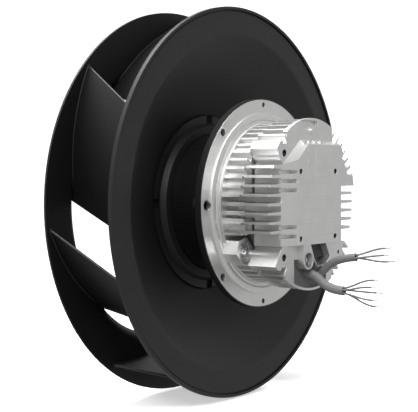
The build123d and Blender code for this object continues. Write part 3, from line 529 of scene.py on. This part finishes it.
def soften(
    node: str,
    body: str,
    kind: Kind,
    round_mm: float = 0.0,
    sharp_deg: float = 32,
    level_y_mm: tuple[float, float] | None = None,
) -> bpy.types.Object:
    """Replace a node by a merged copy with smooth curved faces and rounded edges.

    Args:
        node: Name of the node.
        body: Body that carries it.
        kind: Its finish.
        round_mm: Width of the rounding of its sharp edges, or nothing.
        sharp_deg: Angle from which an edge counts as sharp.
        level_y_mm: Axial place of grooves and of the face that they are levelled with.

    Returns:
        The piece that stands for the node.
    """
    mesh = merged_copy(node, level_y_mm)
    limit = math.radians(sharp_deg)
    if round_mm:
        surface = BVHTree.FromBMesh(mesh)
        round_edges(mesh, round_mm * MM, limit, [])
        faults = turned_faces(mesh, surface, round_mm * MM)
        if faults:
            mesh.free()
            mesh = merged_copy(node, level_y_mm)
            round_edges(mesh, round_mm * MM, limit, faults)
            left = len(turned_faces(mesh, surface, round_mm * MM))
            LOG.info("%s: %d faults at first, %d in the end", node, len(faults), left)
    for face in mesh.faces:
        face.smooth = True
    for edge in mesh.edges:
        edge.smooth = edge.calc_face_angle(math.pi) < limit
    piece = new_piece(f"{node}_surface", mesh, body, kind)
    weighted = piece.modifiers.new("flat_faces_stay_flat", "WEIGHTED_NORMAL")
    weighted.keep_sharp = True
    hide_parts(node)
    return piece


@dataclass
class ScrewHead:
    """A slightly domed screw head with a round recess for the driver, seen from the motor side.

    Attributes:
        node: Node of the plain screw that the head stands for.
        seat_mm: Middle of the head's seat.
        radius_mm: Radius of the head.
        height_mm: Height of the head above its seat.
        recess_mm: Radius of the driver's recess.
        shank_mm: Radius of the shank.
        length_mm: Length of the shank.
        rim_share: Height of the rounded rim, as a share of the head's height.
        floor_share: Height of the recess's floor, as a share of the same.
        steps: Sides of the turned shape.
        smooth_below: Angle between two faces, in radians, below which their edge looks smooth.
    """

    node: str
    seat_mm: tuple[float, float, float]
    radius_mm: float
    height_mm: float
    recess_mm: float
    shank_mm: float
    length_mm: float
    rim_share: float = 0.3
    floor_share: float = 0.45
    steps: int = 32
    smooth_below: float = 0.7

    def build(self) -> bpy.types.Object:
        """Build head and shank by turning their outline.

        Returns:
            The finished screw.
        """
        top, radius, recess = self.height_mm, self.radius_mm, self.recess_mm
        rim = self.rim_share * top
        floor = self.floor_share * top
        # From the shank's end over the rounded rim down to the recess's floor
        outline_mm = [
            (0.0, self.length_mm),
            (self.shank_mm, self.length_mm),
            (self.shank_mm, 0.0),
            (radius, 0.0),
            (radius, 1.3 * rim - top),
            (radius - 0.3 * rim, 0.7 * rim - top),
            (radius - rim, 0.3 * rim - top),
            (recess, -top),
            (0.85 * recess, 0.2 * rim - top),
            (0.8 * recess, -floor),
            (0.0, -floor),
        ]
        mesh = bmesh.new()
        turn(mesh, outline_mm, self.seat_mm, self.steps, closed=False)
        for face in mesh.faces:
            face.smooth = True
        for edge in mesh.edges:
            edge.smooth = edge.calc_face_angle(math.pi) < self.smooth_below
        piece = new_piece(f"{self.node}_head", mesh, "motor", Kind.SCREW)
        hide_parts(self.node)
        return piece


@dataclass
class BoreThread:
    """A thread cut in drilled holes that open towards the motor side.

    Attributes:
        name: Name of the piece.
        places_mm: Middles of the holes, across and up.
        mouth_y_mm: Axial place of the thread's outer end.
        radius_mm: Radius of the holes.
        depth_mm: Length of the thread.
        pitch_mm: Distance between two ridges, coarser than the real thread so that it shows.
        ridge_mm: Height of the ridges.
        play_mm: Gap between the thread and the hole's wall, which keeps the two apart.
        steps: Sides of each turned ring.
    """

    name: str
    places_mm: list[tuple[float, float]]
    mouth_y_mm: float
    radius_mm: float
    depth_mm: float
    pitch_mm: float = 0.8
    ridge_mm: float = 0.3
    play_mm: float = 0.03
    steps: int = 20

    def build(self) -> bpy.types.Object:
        """Build the ridges as one closed ring in each hole.

        Returns:
            The threads as one piece.
        """
        outer = self.radius_mm - self.play_mm
        inner = outer - self.ridge_mm
        count = int(self.depth_mm / self.pitch_mm)
        mesh = bmesh.new()
        outline_mm = [(outer, 0.0)]
        for ridge in range(count):
            outline_mm.append((outer - self.play_mm, ridge * self.pitch_mm))
            outline_mm.append((inner, (ridge + 0.5) * self.pitch_mm))
        outline_mm.append((outer, count * self.pitch_mm))
        for across, up in self.places_mm:
            middle_mm = (across, self.mouth_y_mm, up)
            turn(mesh, outline_mm, middle_mm, self.steps, closed=True)
        # The threads take the dark thread finish: oil and painted shade for the holes' depth
        return new_piece(self.name, mesh, "motor", Kind.OILED_AND_SHADED_THREAD)


@dataclass
class PadMarks:
    """Raised lines, plain bars and frames on the end pad of the cover.

    Attributes:
        face_y_mm: Axial place of the pad's face.
        sunk_mm: How deep each shape reaches into the pad.
        rise_mm: Height of the shapes above the pad.
        line_rise_mm: Height of the thin lines above the pad.
        line_width_mm: Width of the thin lines.
        lines_mm: Heights at which a line crosses the pad.
        line_ends_mm: Left and right end of these lines.
        left_line_mm: Lower and upper end of the line along the pad's left side.
        row_heights_mm: Heights of the rows of bars and frames.
        bar_x_mm: Place of the bars across the pad.
        bar_size_mm: Width and height of the bars.
        divider_x_mm: Place of the upright line between bars and frames.
        divider_ends_mm: Its lower and upper end.
        divider_width_mm: Its width.
        frame_x_mm: Place of the frames across the pad.
        frame_size_mm: Width and height of the frames.
        frame_wall_mm: Width of the frames' walls.
        hollow_share: Depth of the frames' hollows, as a share of the shapes' height.
        dash_x_mm: Place of the dashes beside the frames.
        dash_size_mm: Width and height of the dashes.
        stub_x_mm: Places of the blocks on the slope above the pad.
        stub_place_mm: Axial place and height of these blocks.
        stub_size_mm: Their size across, along the axis and up.
        edge_mm: Width of the rounding on every shape.
    """

    face_y_mm: float = -51.6
    sunk_mm: float = 0.5
    rise_mm: float = 0.45
    line_rise_mm: float = 0.22
    line_width_mm: float = 0.7
    lines_mm: tuple[float, ...] = (17.6, 6.8, -3.2, -13.6, -23.4)
    line_ends_mm: tuple[float, float] = (-27.6, 30.0)
    left_line_mm: tuple[float, float] = (-30.0, 17.6)
    row_heights_mm: tuple[float, ...] = (41.5, 33.4, 25.0)
    bar_x_mm: float = -14.3
    bar_size_mm: tuple[float, float] = (2.4, 4.0)
    divider_x_mm: float = -4.2
    divider_ends_mm: tuple[float, float] = (20.5, 44.0)
    divider_width_mm: float = 1.2
    frame_x_mm: float = 6.3
    frame_size_mm: tuple[float, float] = (9.4, 5.6)
    frame_wall_mm: float = 1.1
    hollow_share: float = 0.8
    dash_x_mm: float = 16.8
    dash_size_mm: tuple[float, float] = (1.4, 4.2)
    stub_x_mm: tuple[float, ...] = (-16.5, -10.5, -2.3, 6.0)
    stub_place_mm: tuple[float, float] = (-48.6, 48.2)
    stub_size_mm: tuple[float, float, float] = (2.6, 3.6, 2.4)
    edge_mm: float = 0.12

    def block(
        self,
        mesh: bmesh.types.BMesh,
        middle_mm: Vector,
        size_mm: tuple[float, float, float],
        wall_mm: float = 0.0,
    ) -> None:
        """Add one block with softened edges, hollowed from the front where it has a wall.

        Args:
            mesh: Mesh that takes the block.
            middle_mm: Middle of the block.
            size_mm: Size across, along the axis and up.
            wall_mm: Width of the wall round its hollow, or nothing.
        """
        made = bmesh.ops.create_cube(mesh, size=1.0)["verts"]
        bmesh.ops.scale(mesh, verts=made, vec=Vector(size_mm) * MM)
        bmesh.ops.translate(mesh, verts=made, vec=middle_mm * MM)
        faces = {f for v in made for f in v.link_faces}
        front = min(faces, key=lambda f: f.calc_center_median().y)
        edges = list(front.edges)
        if wall_mm:
            depth = self.hollow_share * self.rise_mm
            bmesh.ops.inset_region(
                mesh, faces=[front], thickness=wall_mm * MM, depth=-depth * MM
            )
        bmesh.ops.bevel(
            mesh, geom=edges, offset=self.edge_mm * MM, affect="EDGES", segments=2,
            profile=0.5, material=-1,
        )

    def shape(
        self,
        mesh: bmesh.types.BMesh,
        x: float,
        z: float,
        size: tuple[float, float],
        rise: float,
        wall: float = 0.0,
    ) -> None:
        """Add one raised shape on the pad's face.

        Args:
            mesh: Mesh that takes the shape.
            x: Place across the pad, in millimetres.
            z: Height on the pad.
            size: Width and height.
            rise: Height above the pad.
            wall: Width of the wall round its hollow, or nothing.
        """
        middle = Vector((x, self.face_y_mm + (self.sunk_mm - rise) / 2, z))
        self.block(mesh, middle, (size[0], self.sunk_mm + rise, size[1]), wall)

    def build(self) -> bpy.types.Object:
        """Build all raised shapes as one piece.

        Returns:
            The finished piece.
        """
        mesh = bmesh.new()
        left, right = self.line_ends_mm
        for z in self.lines_mm:
            size = (right - left, self.line_width_mm)
            self.shape(mesh, (left + right) / 2, z, size, self.line_rise_mm)
        low, high = self.left_line_mm
        size = (self.line_width_mm, high - low)
        self.shape(mesh, left, (low + high) / 2, size, self.line_rise_mm)
        low, high = self.divider_ends_mm
        size = (self.divider_width_mm, high - low)
        self.shape(mesh, self.divider_x_mm, (low + high) / 2, size, self.rise_mm)
        for z in self.row_heights_mm:
            self.shape(mesh, self.bar_x_mm, z, self.bar_size_mm, self.rise_mm)
        for z in self.row_heights_mm[1:]:
            size = self.frame_size_mm
            self.shape(mesh, self.frame_x_mm, z, size, self.rise_mm, self.frame_wall_mm)
            self.shape(mesh, self.dash_x_mm, z, self.dash_size_mm, self.rise_mm)
        for x in self.stub_x_mm:
            middle = Vector((x, *self.stub_place_mm))
            self.block(mesh, middle, self.stub_size_mm)
        bmesh.ops.recalc_face_normals(mesh, faces=mesh.faces)
        mesh.normal_update()
        # The bevels leave another order on each run
        mesh.verts.sort(key=lambda v: v.co.dot(SLANT))
        mesh.faces.sort(key=lambda f: (f.calc_center_median() + f.normal).dot(SLANT))
        return new_piece("pad_marks", mesh, "motor", Kind.CASTING)


def chains_of(edges: list[bmesh.types.BMEdge]) -> list[tuple[list[Vector], bool]]:
    """Put edges that meet end to end in order.

    Args:
        edges: The edges, in any order.

    Returns:
        The points of each chain, and whether it closes on itself.
    """
    meeting: dict[bmesh.types.BMVert, list[bmesh.types.BMEdge]] = {}
    for edge in edges:
        for vert in edge.verts:
            meeting.setdefault(vert, []).append(edge)
    starts = sorted(meeting, key=lambda v: (len(meeting[v]) != 1, v.index))
    used: set[bmesh.types.BMEdge] = set()
    chains = []
    for start in starts:
        points, vert = [start.co.copy()], start
        while free := [e for e in meeting[vert] if e not in used]:
            used.add(free[0])
            vert = free[0].other_vert(vert)
            if vert is start:
                break
            points.append(vert.co.copy())
        if len(points) > 2:
            chains.append((points, vert is start))
    return chains


@dataclass
class BladeRoots:
    """The small bead where each blade runs into the shroud.

    Attributes:
        bead_mm: Radius of the bead.
        reach_mm: How near to the shroud an edge of a blade lies where it gets a bead.
        sharp_deg: Angle between two faces from which their edge counts as one of the blade's.
        sides: How finely the bead is rounded.
    """

    bead_mm: float = 0.8
    reach_mm: float = 0.7
    sharp_deg: float = 40
    sides: int = 2

    def build(self, blade_count: int) -> bpy.types.Object:
        """Run a bead along the blades' edges that meet the shroud.

        Args:
            blade_count: Number of blades.

        Returns:
            The beads as one piece.
        """
        wall = merged_copy("wheel_shroud", None)
        shroud = BVHTree.FromBMesh(wall)
        wall.free()
        # The bead stops short of the throat's lip, so that it stays inside the fan's own size
        inlet_y = CAD_BOX[1].y - 1.5 * self.bead_mm * MM
        curve = tube_curve("blade_roots", self.sides, caps=True)
        for index in range(blade_count):
            blade = merged_copy(f"wheel_blade_{index + 1}", None)
            blade.verts.index_update()
            near = {
                v: v.co.y < inlet_y and shroud.find_nearest(v.co)[3] < self.reach_mm * MM
                for v in blade.verts
            }
            edges = [
                e
                for e in blade.edges
                if near[e.verts[0]]
                and near[e.verts[1]]
                and e.calc_face_angle(0.0) > math.radians(self.sharp_deg)
            ]
            for points, closed in chains_of(edges):
                spline = curve.splines.new("POLY")
                spline.points.add(len(points) - 1)
                spline.use_cyclic_u = closed
                for point, place in zip(spline.points, points):
                    point.co = (*place, 1.0)
                    point.radius = self.bead_mm * MM
            blade.free()
        LOG.info("blade roots: %d beads", len(curve.splines))
        return new_piece("blade_roots", curve, "impeller", Kind.WHEEL)


@dataclass
class Wheel:
    """The wheel: back disc, shroud and blades.

    Attributes:
        blade_count: Number of blades.
        edge_mm: Width of the rounding on the disc's and the shroud's edges.
    """

    blade_count: int = 7
    edge_mm: float = 0.35

    def build(self) -> None:
        """Soften and dress the wheel's nodes."""
        for node in ("wheel_back_disc", "wheel_shroud"):
            soften(node, "impeller", Kind.WHEEL, round_mm=self.edge_mm)
        for index in range(self.blade_count):
            soften(f"wheel_blade_{index + 1}", "impeller", Kind.WHEEL)
        BladeRoots().build(self.blade_count)
        dress_nodes(Kind.SCREW, "wheel_screws")


@dataclass
class Motor:
    """The external rotor, its bearings and the stator inside.

    Attributes:
        edge_mm: Width of the rounding on the rotor cup's edges.
    """

    edge_mm: float = 0.6

    def build(self) -> None:
        """Soften the rotor cup and dress what is inside it."""
        soften("rotor_cup", "impeller", Kind.ROTOR, round_mm=self.edge_mm)
        dress_nodes(Kind.MAGNET, "magnet_ring")
        dress_nodes(Kind.BEARING, "rotor_shaft", "shaft_circlip", "wave_washer")
        dress_nodes(Kind.LAMINATION, "stator_stack")
        dress_nodes(Kind.COPPER, "stator_coils")
        for end in ("front", "rear"):
            steel = [f"{end}_bearing_{part}" for part in ("inner", "outer", "balls")]
            dress_nodes(Kind.BEARING, *steel)
            dress_nodes(Kind.CAGE, f"{end}_bearing_cage")


@dataclass
class Housing:
    """The two aluminium castings and what is set in them.

    Attributes:
        edge_mm: Width of the rounding on the castings' edges.
        grommet_edge_mm: The same on the grommet.
        insert_edge_mm: The same on the pocket's insert.
        groove_levels_mm: Axial place of the pad's grooves and of the pad's face.
        pad_hole_mm: Distance of the pad's holes from its middle, across and up.
        post_hole_mm: Distance of the corner posts' holes from the axis, across and up.
        pad_y_mm: Axial place where the threads in the pad begin.
        post_y_mm: Axial place where the threads in the posts begin.
    """

    edge_mm: float = 0.35
    grommet_edge_mm: float = 0.4
    insert_edge_mm: float = 0.3
    groove_levels_mm: tuple[float, float] = (-51.2, -51.6)
    pad_hole_mm: tuple[float, float] = (25.6, 25.7)
    post_hole_mm: tuple[float, float] = (40.0, 39.5)
    pad_y_mm: float = -51.3
    post_y_mm: float = -45.7

    def build(self) -> None:
        """Soften the castings, dress the rest and add screws, threads and the pad's shapes."""
        soften("motor_flange", "motor", Kind.CASTING, round_mm=self.edge_mm)
        soften(
            "electronics_cover", "motor", Kind.CASTING, round_mm=self.edge_mm,
            level_y_mm=self.groove_levels_mm,
        )
        soften("flange_back_ring", "motor", Kind.RING)
        soften("cable_grommet", "motor", Kind.GROMMET, round_mm=self.grommet_edge_mm)
        soften("pocket_insert", "motor", Kind.INSERT, round_mm=self.insert_edge_mm)
        dress_nodes(Kind.GASKET, "housing_gasket")
        dress_nodes(Kind.DARK_SCREW, "cover_screws")
        dress_nodes(Kind.BOARD, "circuit_board")
        dress_nodes(Kind.CAPACITOR, "capacitors")
        dress_nodes(Kind.LAMINATION, "filter_choke")
        ScrewHead(
            "boss_screw", seat_mm=(-49.5, -12.6, -34.5), radius_mm=4.9, height_mm=2.4,
            recess_mm=1.9, shank_mm=2.0, length_mm=8.0,
        ).build()
        ScrewHead(
            "earth_screw", seat_mm=(-13.8, -42.6, -42.6), radius_mm=4.1, height_mm=6.4,
            recess_mm=1.7, shank_mm=2.0, length_mm=4.0,
        ).build()
        self.threads()
        PadMarks().build()

    def threads(self) -> None:
        """Cut threads in the pad's holes and in the holes of the corner posts."""
        x, z = self.pad_hole_mm
        pad_holes = [(-x, -z), (-x, z), (x, -z), (x, z)]
        BoreThread(
            "pad_threads", pad_holes, self.pad_y_mm, radius_mm=2.1, depth_mm=7.2
        ).build()
        x, z = self.post_hole_mm
        post_holes = [(-x, -z), (-x, z), (x, z)]
        BoreThread(
            "post_bores", post_holes, self.post_y_mm, radius_mm=2.75, depth_mm=8.0
        ).build()
        # The fourth corner, beside the cables, has a much smaller hole
        BoreThread(
            "spare_thread", [(x, -z)], self.post_y_mm, radius_mm=1.5, depth_mm=5.2
        ).build()


@dataclass
class CableStub:
    """A cable stub: jacket with a hollow end, and cores that fan out of it.

    Attributes:
        name: Name of the cable.
        route_mm: Points of the jacket's route.
        jacket_radius_mm: Radius of the jacket.
        core_circle_mm: Radius of the circle that the cores lie on in the jacket.
        spread_mm: Height of each core's end above the jacket's line.
        jacket_length_mm: Length of the jacket; not used.
        core_length_mm: Length of each core's sleeve; not used.
        wall_mm: Thickness of the jacket's wall.
        core_radius_mm: Radius of the cores' sleeves.
        hollow_mm: How far inside the jacket's end the cores begin.
        straight_mm: How far the cores run straight out of the jacket.
        fan_mm: Length over which they fan out.
        reach_mm: Length of their last, straight stretch.
        side_spread: How many times wider apart sideways the cores end than they begin.
        rings: Cross-sections between two points of a route.
        sides: How finely the tubes are rounded.
    """

    name: str
    route_mm: list[tuple[float, float, float]]
    jacket_radius_mm: float
    core_circle_mm: float
    spread_mm: list[float]
    jacket_length_mm: float
    core_length_mm: float = 31.0
    wall_mm: float = 0.8
    core_radius_mm: float = 0.8
    hollow_mm: float = 4.0
    straight_mm: float = 2.0
    fan_mm: float = 17.0
    reach_mm: float = 6.4
    side_spread: float = 2.4
    rings: int = 24
    sides: int = 6

    def tube(
        self, name: str, points_mm: list, radius_mm: float, kind: Kind
    ) -> bpy.types.Object:
        """Make a round tube on a smooth spline.

        Args:
            name: Name of the piece.
            points_mm: Control points of the spline.
            radius_mm: Radius of the tube.
            kind: Finish of the tube.

        Returns:
            The curve object.
        """
        curve = tube_curve(name, self.sides, caps=kind is not Kind.JACKET)
        curve.resolution_u = self.rings
        curve.render_resolution_u = self.rings
        spline = curve.splines.new("NURBS")
        spline.points.add(len(points_mm) - 1)
        for point, place in zip(spline.points, points_mm):
            point.co = (place[0] * MM, place[1] * MM, place[2] * MM, 1.0)
            point.radius = radius_mm * MM
        spline.order_u = 3
        spline.use_endpoint_u = True
        return new_piece(name, curve, "motor", kind)

    def core_points(self, index: int) -> list[Vector]:
        """Lay the route of one core, from inside the jacket to its sleeve's end.

        Args:
            index: Number of the core, counted from nothing.

        Returns:
            The route's points, in millimetres.
        """
        angle = math.radians(90 + index * 360 / len(self.spread_mm))
        offset_x = self.core_circle_mm * math.cos(angle)
        offset_z = self.core_circle_mm * math.sin(angle)
        end = Vector(self.route_mm[-1])
        along = (end - Vector(self.route_mm[-2])).normalized()
        up = along.cross(Vector((1, 0, 0)))
        up = up if up.z > 0 else -up
        side = offset_x * self.side_spread
        spread = self.spread_mm[index]
        places = (
            (-self.hollow_mm, offset_x, offset_z),
            (self.straight_mm, offset_x, offset_z),
            (self.straight_mm + self.fan_mm, side, spread),
            (self.straight_mm + self.fan_mm + self.reach_mm, side, spread),
        )
        return [end + along * s + Vector((x, 0, 0)) + up * z for s, x, z in places]

    def build(self) -> None:
        jacket = self.tube(
            f"{self.name}_jacket", self.route_mm, self.jacket_radius_mm, Kind.JACKET
        )
        wall = jacket.modifiers.new("wall", "SOLIDIFY")
        wall.thickness = self.wall_mm * MM
        wall.offset = -1.0
        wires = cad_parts[f"{self.name}_core_ends"]
        dress(wires, Kind.WIRE)
        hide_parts(f"{self.name}_cable")
        for index in range(len(self.spread_mm)):
            points = self.core_points(index)
            name = f"{self.name}_sleeve_{index + 1}"
            core = self.tube(name, points, self.core_radius_mm, Kind.SLEEVE)
            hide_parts(f"{self.name}_core_{index + 1}")


@dataclass
class PhotoView:
    """The camera of the photograph, level, aimed at the motor from its left.

    Attributes:
        azimuth_deg: Angle round the object; nothing looks along +Y.
        elevation_deg: Angle above the horizon.
        shift_right_mm: Place of the view's middle beside the origin, to the right.
        shift_up_mm: The same, upwards.
        distance_mm: Distance from that middle.
        focal_px: Focal length in pixels of the photograph's frame.
        frame_width_px: Width of that frame.
    """

    azimuth_deg: float = -53.251
    elevation_deg: float = 1.925
    shift_right_mm: float = -43.933
    shift_up_mm: float = -2.278
    distance_mm: float = 924.644
    focal_px: float = 1148.618
    frame_width_px: int = 418

    def build(self) -> None:
        """Create the camera and make it the scene's own."""
        a = math.radians(self.azimuth_deg)
        e = math.radians(self.elevation_deg)
        back = Vector((math.sin(a) * math.cos(e), -math.cos(a) * math.cos(e), math.sin(e)))
        right = Vector((math.cos(a), math.sin(a), 0.0))
        up = back.cross(right)
        place = back * self.distance_mm + right * self.shift_right_mm + up * self.shift_up_mm
        lens = bpy.data.cameras.new("photo_view")
        lens.sensor_fit = "HORIZONTAL"
        lens.sensor_width = 36.0
        lens.lens = self.focal_px / self.frame_width_px * lens.sensor_width
        lens.clip_end = 20.0
        lens.dof.use_dof = False
        camera = bpy.data.objects.new("photo_view", lens)
        turn = Matrix((right, up, back)).transposed().to_4x4()
        camera.matrix_world = Matrix.Translation(place * MM) @ turn
        bpy.context.scene.collection.objects.link(camera)
        bpy.context.scene.camera = camera


@dataclass(frozen=True)
class Panel:
    """A square soft panel that faces the fan.

    Attributes:
        name: Name of the panel.
        place_m: Its middle.
        size_m: Length of its sides.
        watts: Its strength.
    """

    name: str
    place_m: tuple[float, float, float]
    size_m: float
    watts: float

    def hang(self) -> None:
        """Hang the panel, turned towards the fan."""
        light = bpy.data.lights.new(self.name, "AREA")
        light.size = self.size_m
        light.energy = self.watts
        panel = bpy.data.objects.new(self.name, light)
        panel.location = self.place_m
        panel.rotation_euler = (-Vector(self.place_m)).to_track_quat("-Z", "Y").to_euler()
        bpy.context.scene.collection.objects.link(panel)


@dataclass
class Studio:
    """A pale seamless floor and soft light from panels.

    Attributes:
        floor_z_m: Height of the floor, under the wheel's rim.
        half_width_m: Half of the floor's width.
        depth_m: Depth of the floor before it bends up.
        bend_m: Radius of the bend from the floor into the back wall.
        wall_m: Height of the back wall.
        turn_deg: Turn of the backdrop towards the camera.
        floor_glow: Light that the floor gives off, so that it stays pale.
        sky_strength: Strength of the world's light from above.
        ground_strength: Strength of the world's light from below.
        horizon_blur: How far above and below the horizon the two run into each other.
        panels: The panels; one above and behind the fan, one high on the camera's left.
    """

    floor_z_m: float = -0.160
    half_width_m: float = 9.0
    depth_m: float = 5.0
    bend_m: float = 1.0
    wall_m: float = 6.0
    turn_deg: float = -53.0
    floor_glow: float = 0.5
    sky_strength: float = 0.62
    ground_strength: float = 0.56
    horizon_blur: float = 0.25
    panels: tuple[Panel, ...] = (
        Panel("top_panel", (-0.2, 0.3, 1.47), 1.35, 58.0),
        Panel("left_key", (-1.6, -0.9, 1.3), 0.9, 26.0),
    )

    def backdrop(self) -> None:
        """Make the floor with a back wall that bends up out of it, behind the fan.

        Reflections and bounced light pass it by, so that metal mirrors the even grey of the
        world as it does between two soft panels.
        """
        left = -self.half_width_m
        foot_y = self.depth_m / 2
        mesh = bmesh.new()
        start = mesh.verts.new((left, -self.depth_m / 2, 0.0))
        foot = mesh.verts.new((left, foot_y, 0.0))
        mesh.edges.new((start, foot))
        bend = bmesh.ops.spin(
            mesh, geom=[foot], cent=(left, foot_y, self.bend_m), axis=(1, 0, 0),
            angle=math.radians(90), steps=16,
        )
        last = [v for v in bend["geom_last"] if isinstance(v, bmesh.types.BMVert)]
        rise = bmesh.ops.extrude_vert_indiv(mesh, verts=last)
        bmesh.ops.translate(mesh, verts=rise["verts"], vec=(0, 0, self.wall_m))
        swept = bmesh.ops.extrude_edge_only(mesh, edges=mesh.edges[:])
        moved = [v for v in swept["geom"] if isinstance(v, bmesh.types.BMVert)]
        bmesh.ops.translate(mesh, verts=moved, vec=(2 * self.half_width_m, 0, 0))
        turn = Matrix.Rotation(math.radians(self.turn_deg), 4, "Z")
        bmesh.ops.transform(mesh, matrix=turn, verts=mesh.verts)
        bmesh.ops.translate(mesh, verts=mesh.verts, vec=(0, 0, self.floor_z_m))
        bmesh.ops.recalc_face_normals(mesh, faces=mesh.faces)
        data = bpy.data.meshes.new("studio_floor")
        mesh.to_mesh(data)
        mesh.free()
        floor = bpy.data.objects.new("studio_floor", data)
        bpy.context.scene.collection.objects.link(floor)
        floor.visible_glossy = False
        floor.visible_diffuse = False
        material = bpy.data.materials.new("pale floor")
        material.use_nodes = True
        shader = material.node_tree.nodes["Principled BSDF"]
        shader.inputs["Base Color"].default_value = linear("#fbfbfb")
        shader.inputs["Roughness"].default_value = 0.9
        shader.inputs["Specular IOR Level"].default_value = 0.0
        shader.inputs["Emission Color"].default_value = linear("#ffffff")
        shader.inputs["Emission Strength"].default_value = self.floor_glow
        data.materials.append(material)

    def build(self) -> None:
        """Set the world, the floor and the panels.

        The world's light runs from its lower to its upper strength by a direction's height.
        """
        world = bpy.data.worlds.new("studio")
        bpy.context.scene.world = world
        world.use_nodes = True
        tree = world.node_tree
        tree.nodes.clear()
        place = add_node(tree, "ShaderNodeTexCoord").outputs["Generated"]
        split = add_node(tree, "ShaderNodeSeparateXYZ", None, {"Vector": place})
        level = add_node(
            tree,
            "ShaderNodeMapRange",
            {
                "From Min": -self.horizon_blur,
                "From Max": self.horizon_blur,
                "To Min": self.ground_strength,
                "To Max": self.sky_strength,
            },
            {"Value": split.outputs["Z"]},
        )
        glow = add_node(
            tree, "ShaderNodeBackground", None, {"Strength": level.outputs["Result"]}
        )
        glow.inputs["Color"].default_value = linear("#ffffff")
        add_node(tree, "ShaderNodeOutputWorld", None, {"Surface": glow.outputs["Background"]})
        bpy.context.scene.view_settings.view_transform = "Standard"
        self.backdrop()
        for panel in self.panels:
            panel.hang()


def main() -> None:
    """Build the camera, the cables, the pieces and the light, in that order."""
    PhotoView().build()
    LOG.info("camera set")
    power_bends_mm = ((-34.0, -52.3), (-50.5, -52.3), (-64.5, -65.3), (-78.1, -65.3))
    signal_bends_mm = ((-34.0, -57.0), (-47.8, -57.0), (-62.8, -42.0), (-81.5, -40.2))
    CableStub(
        "power",
        route_mm=[(-6.0, y, z) for y, z in power_bends_mm],
        jacket_radius_mm=3.6,
        core_circle_mm=1.8,
        spread_mm=[9.6, 4.6, -5.2, -10.4, -0.2],
        jacket_length_mm=46.5,
    ).build()
    CableStub(
        "signal",
        route_mm=[(6.5, y, z) for y, z in signal_bends_mm],
        jacket_radius_mm=3.1,
        core_circle_mm=1.3,
        spread_mm=[5.6, 0.4, -4.8],
        jacket_length_mm=51.0,
    ).build()
    LOG.info("cable stubs built")
    Wheel().build()
    LOG.info("wheel dressed")
    Motor().build()
    LOG.info("motor dressed")
    Housing().build()
    LOG.info("housing dressed")
    Studio().build()
    LOG.info("studio lit")


if __name__ == "__main__":
    logging.basicConfig(level=logging.INFO)
    main()
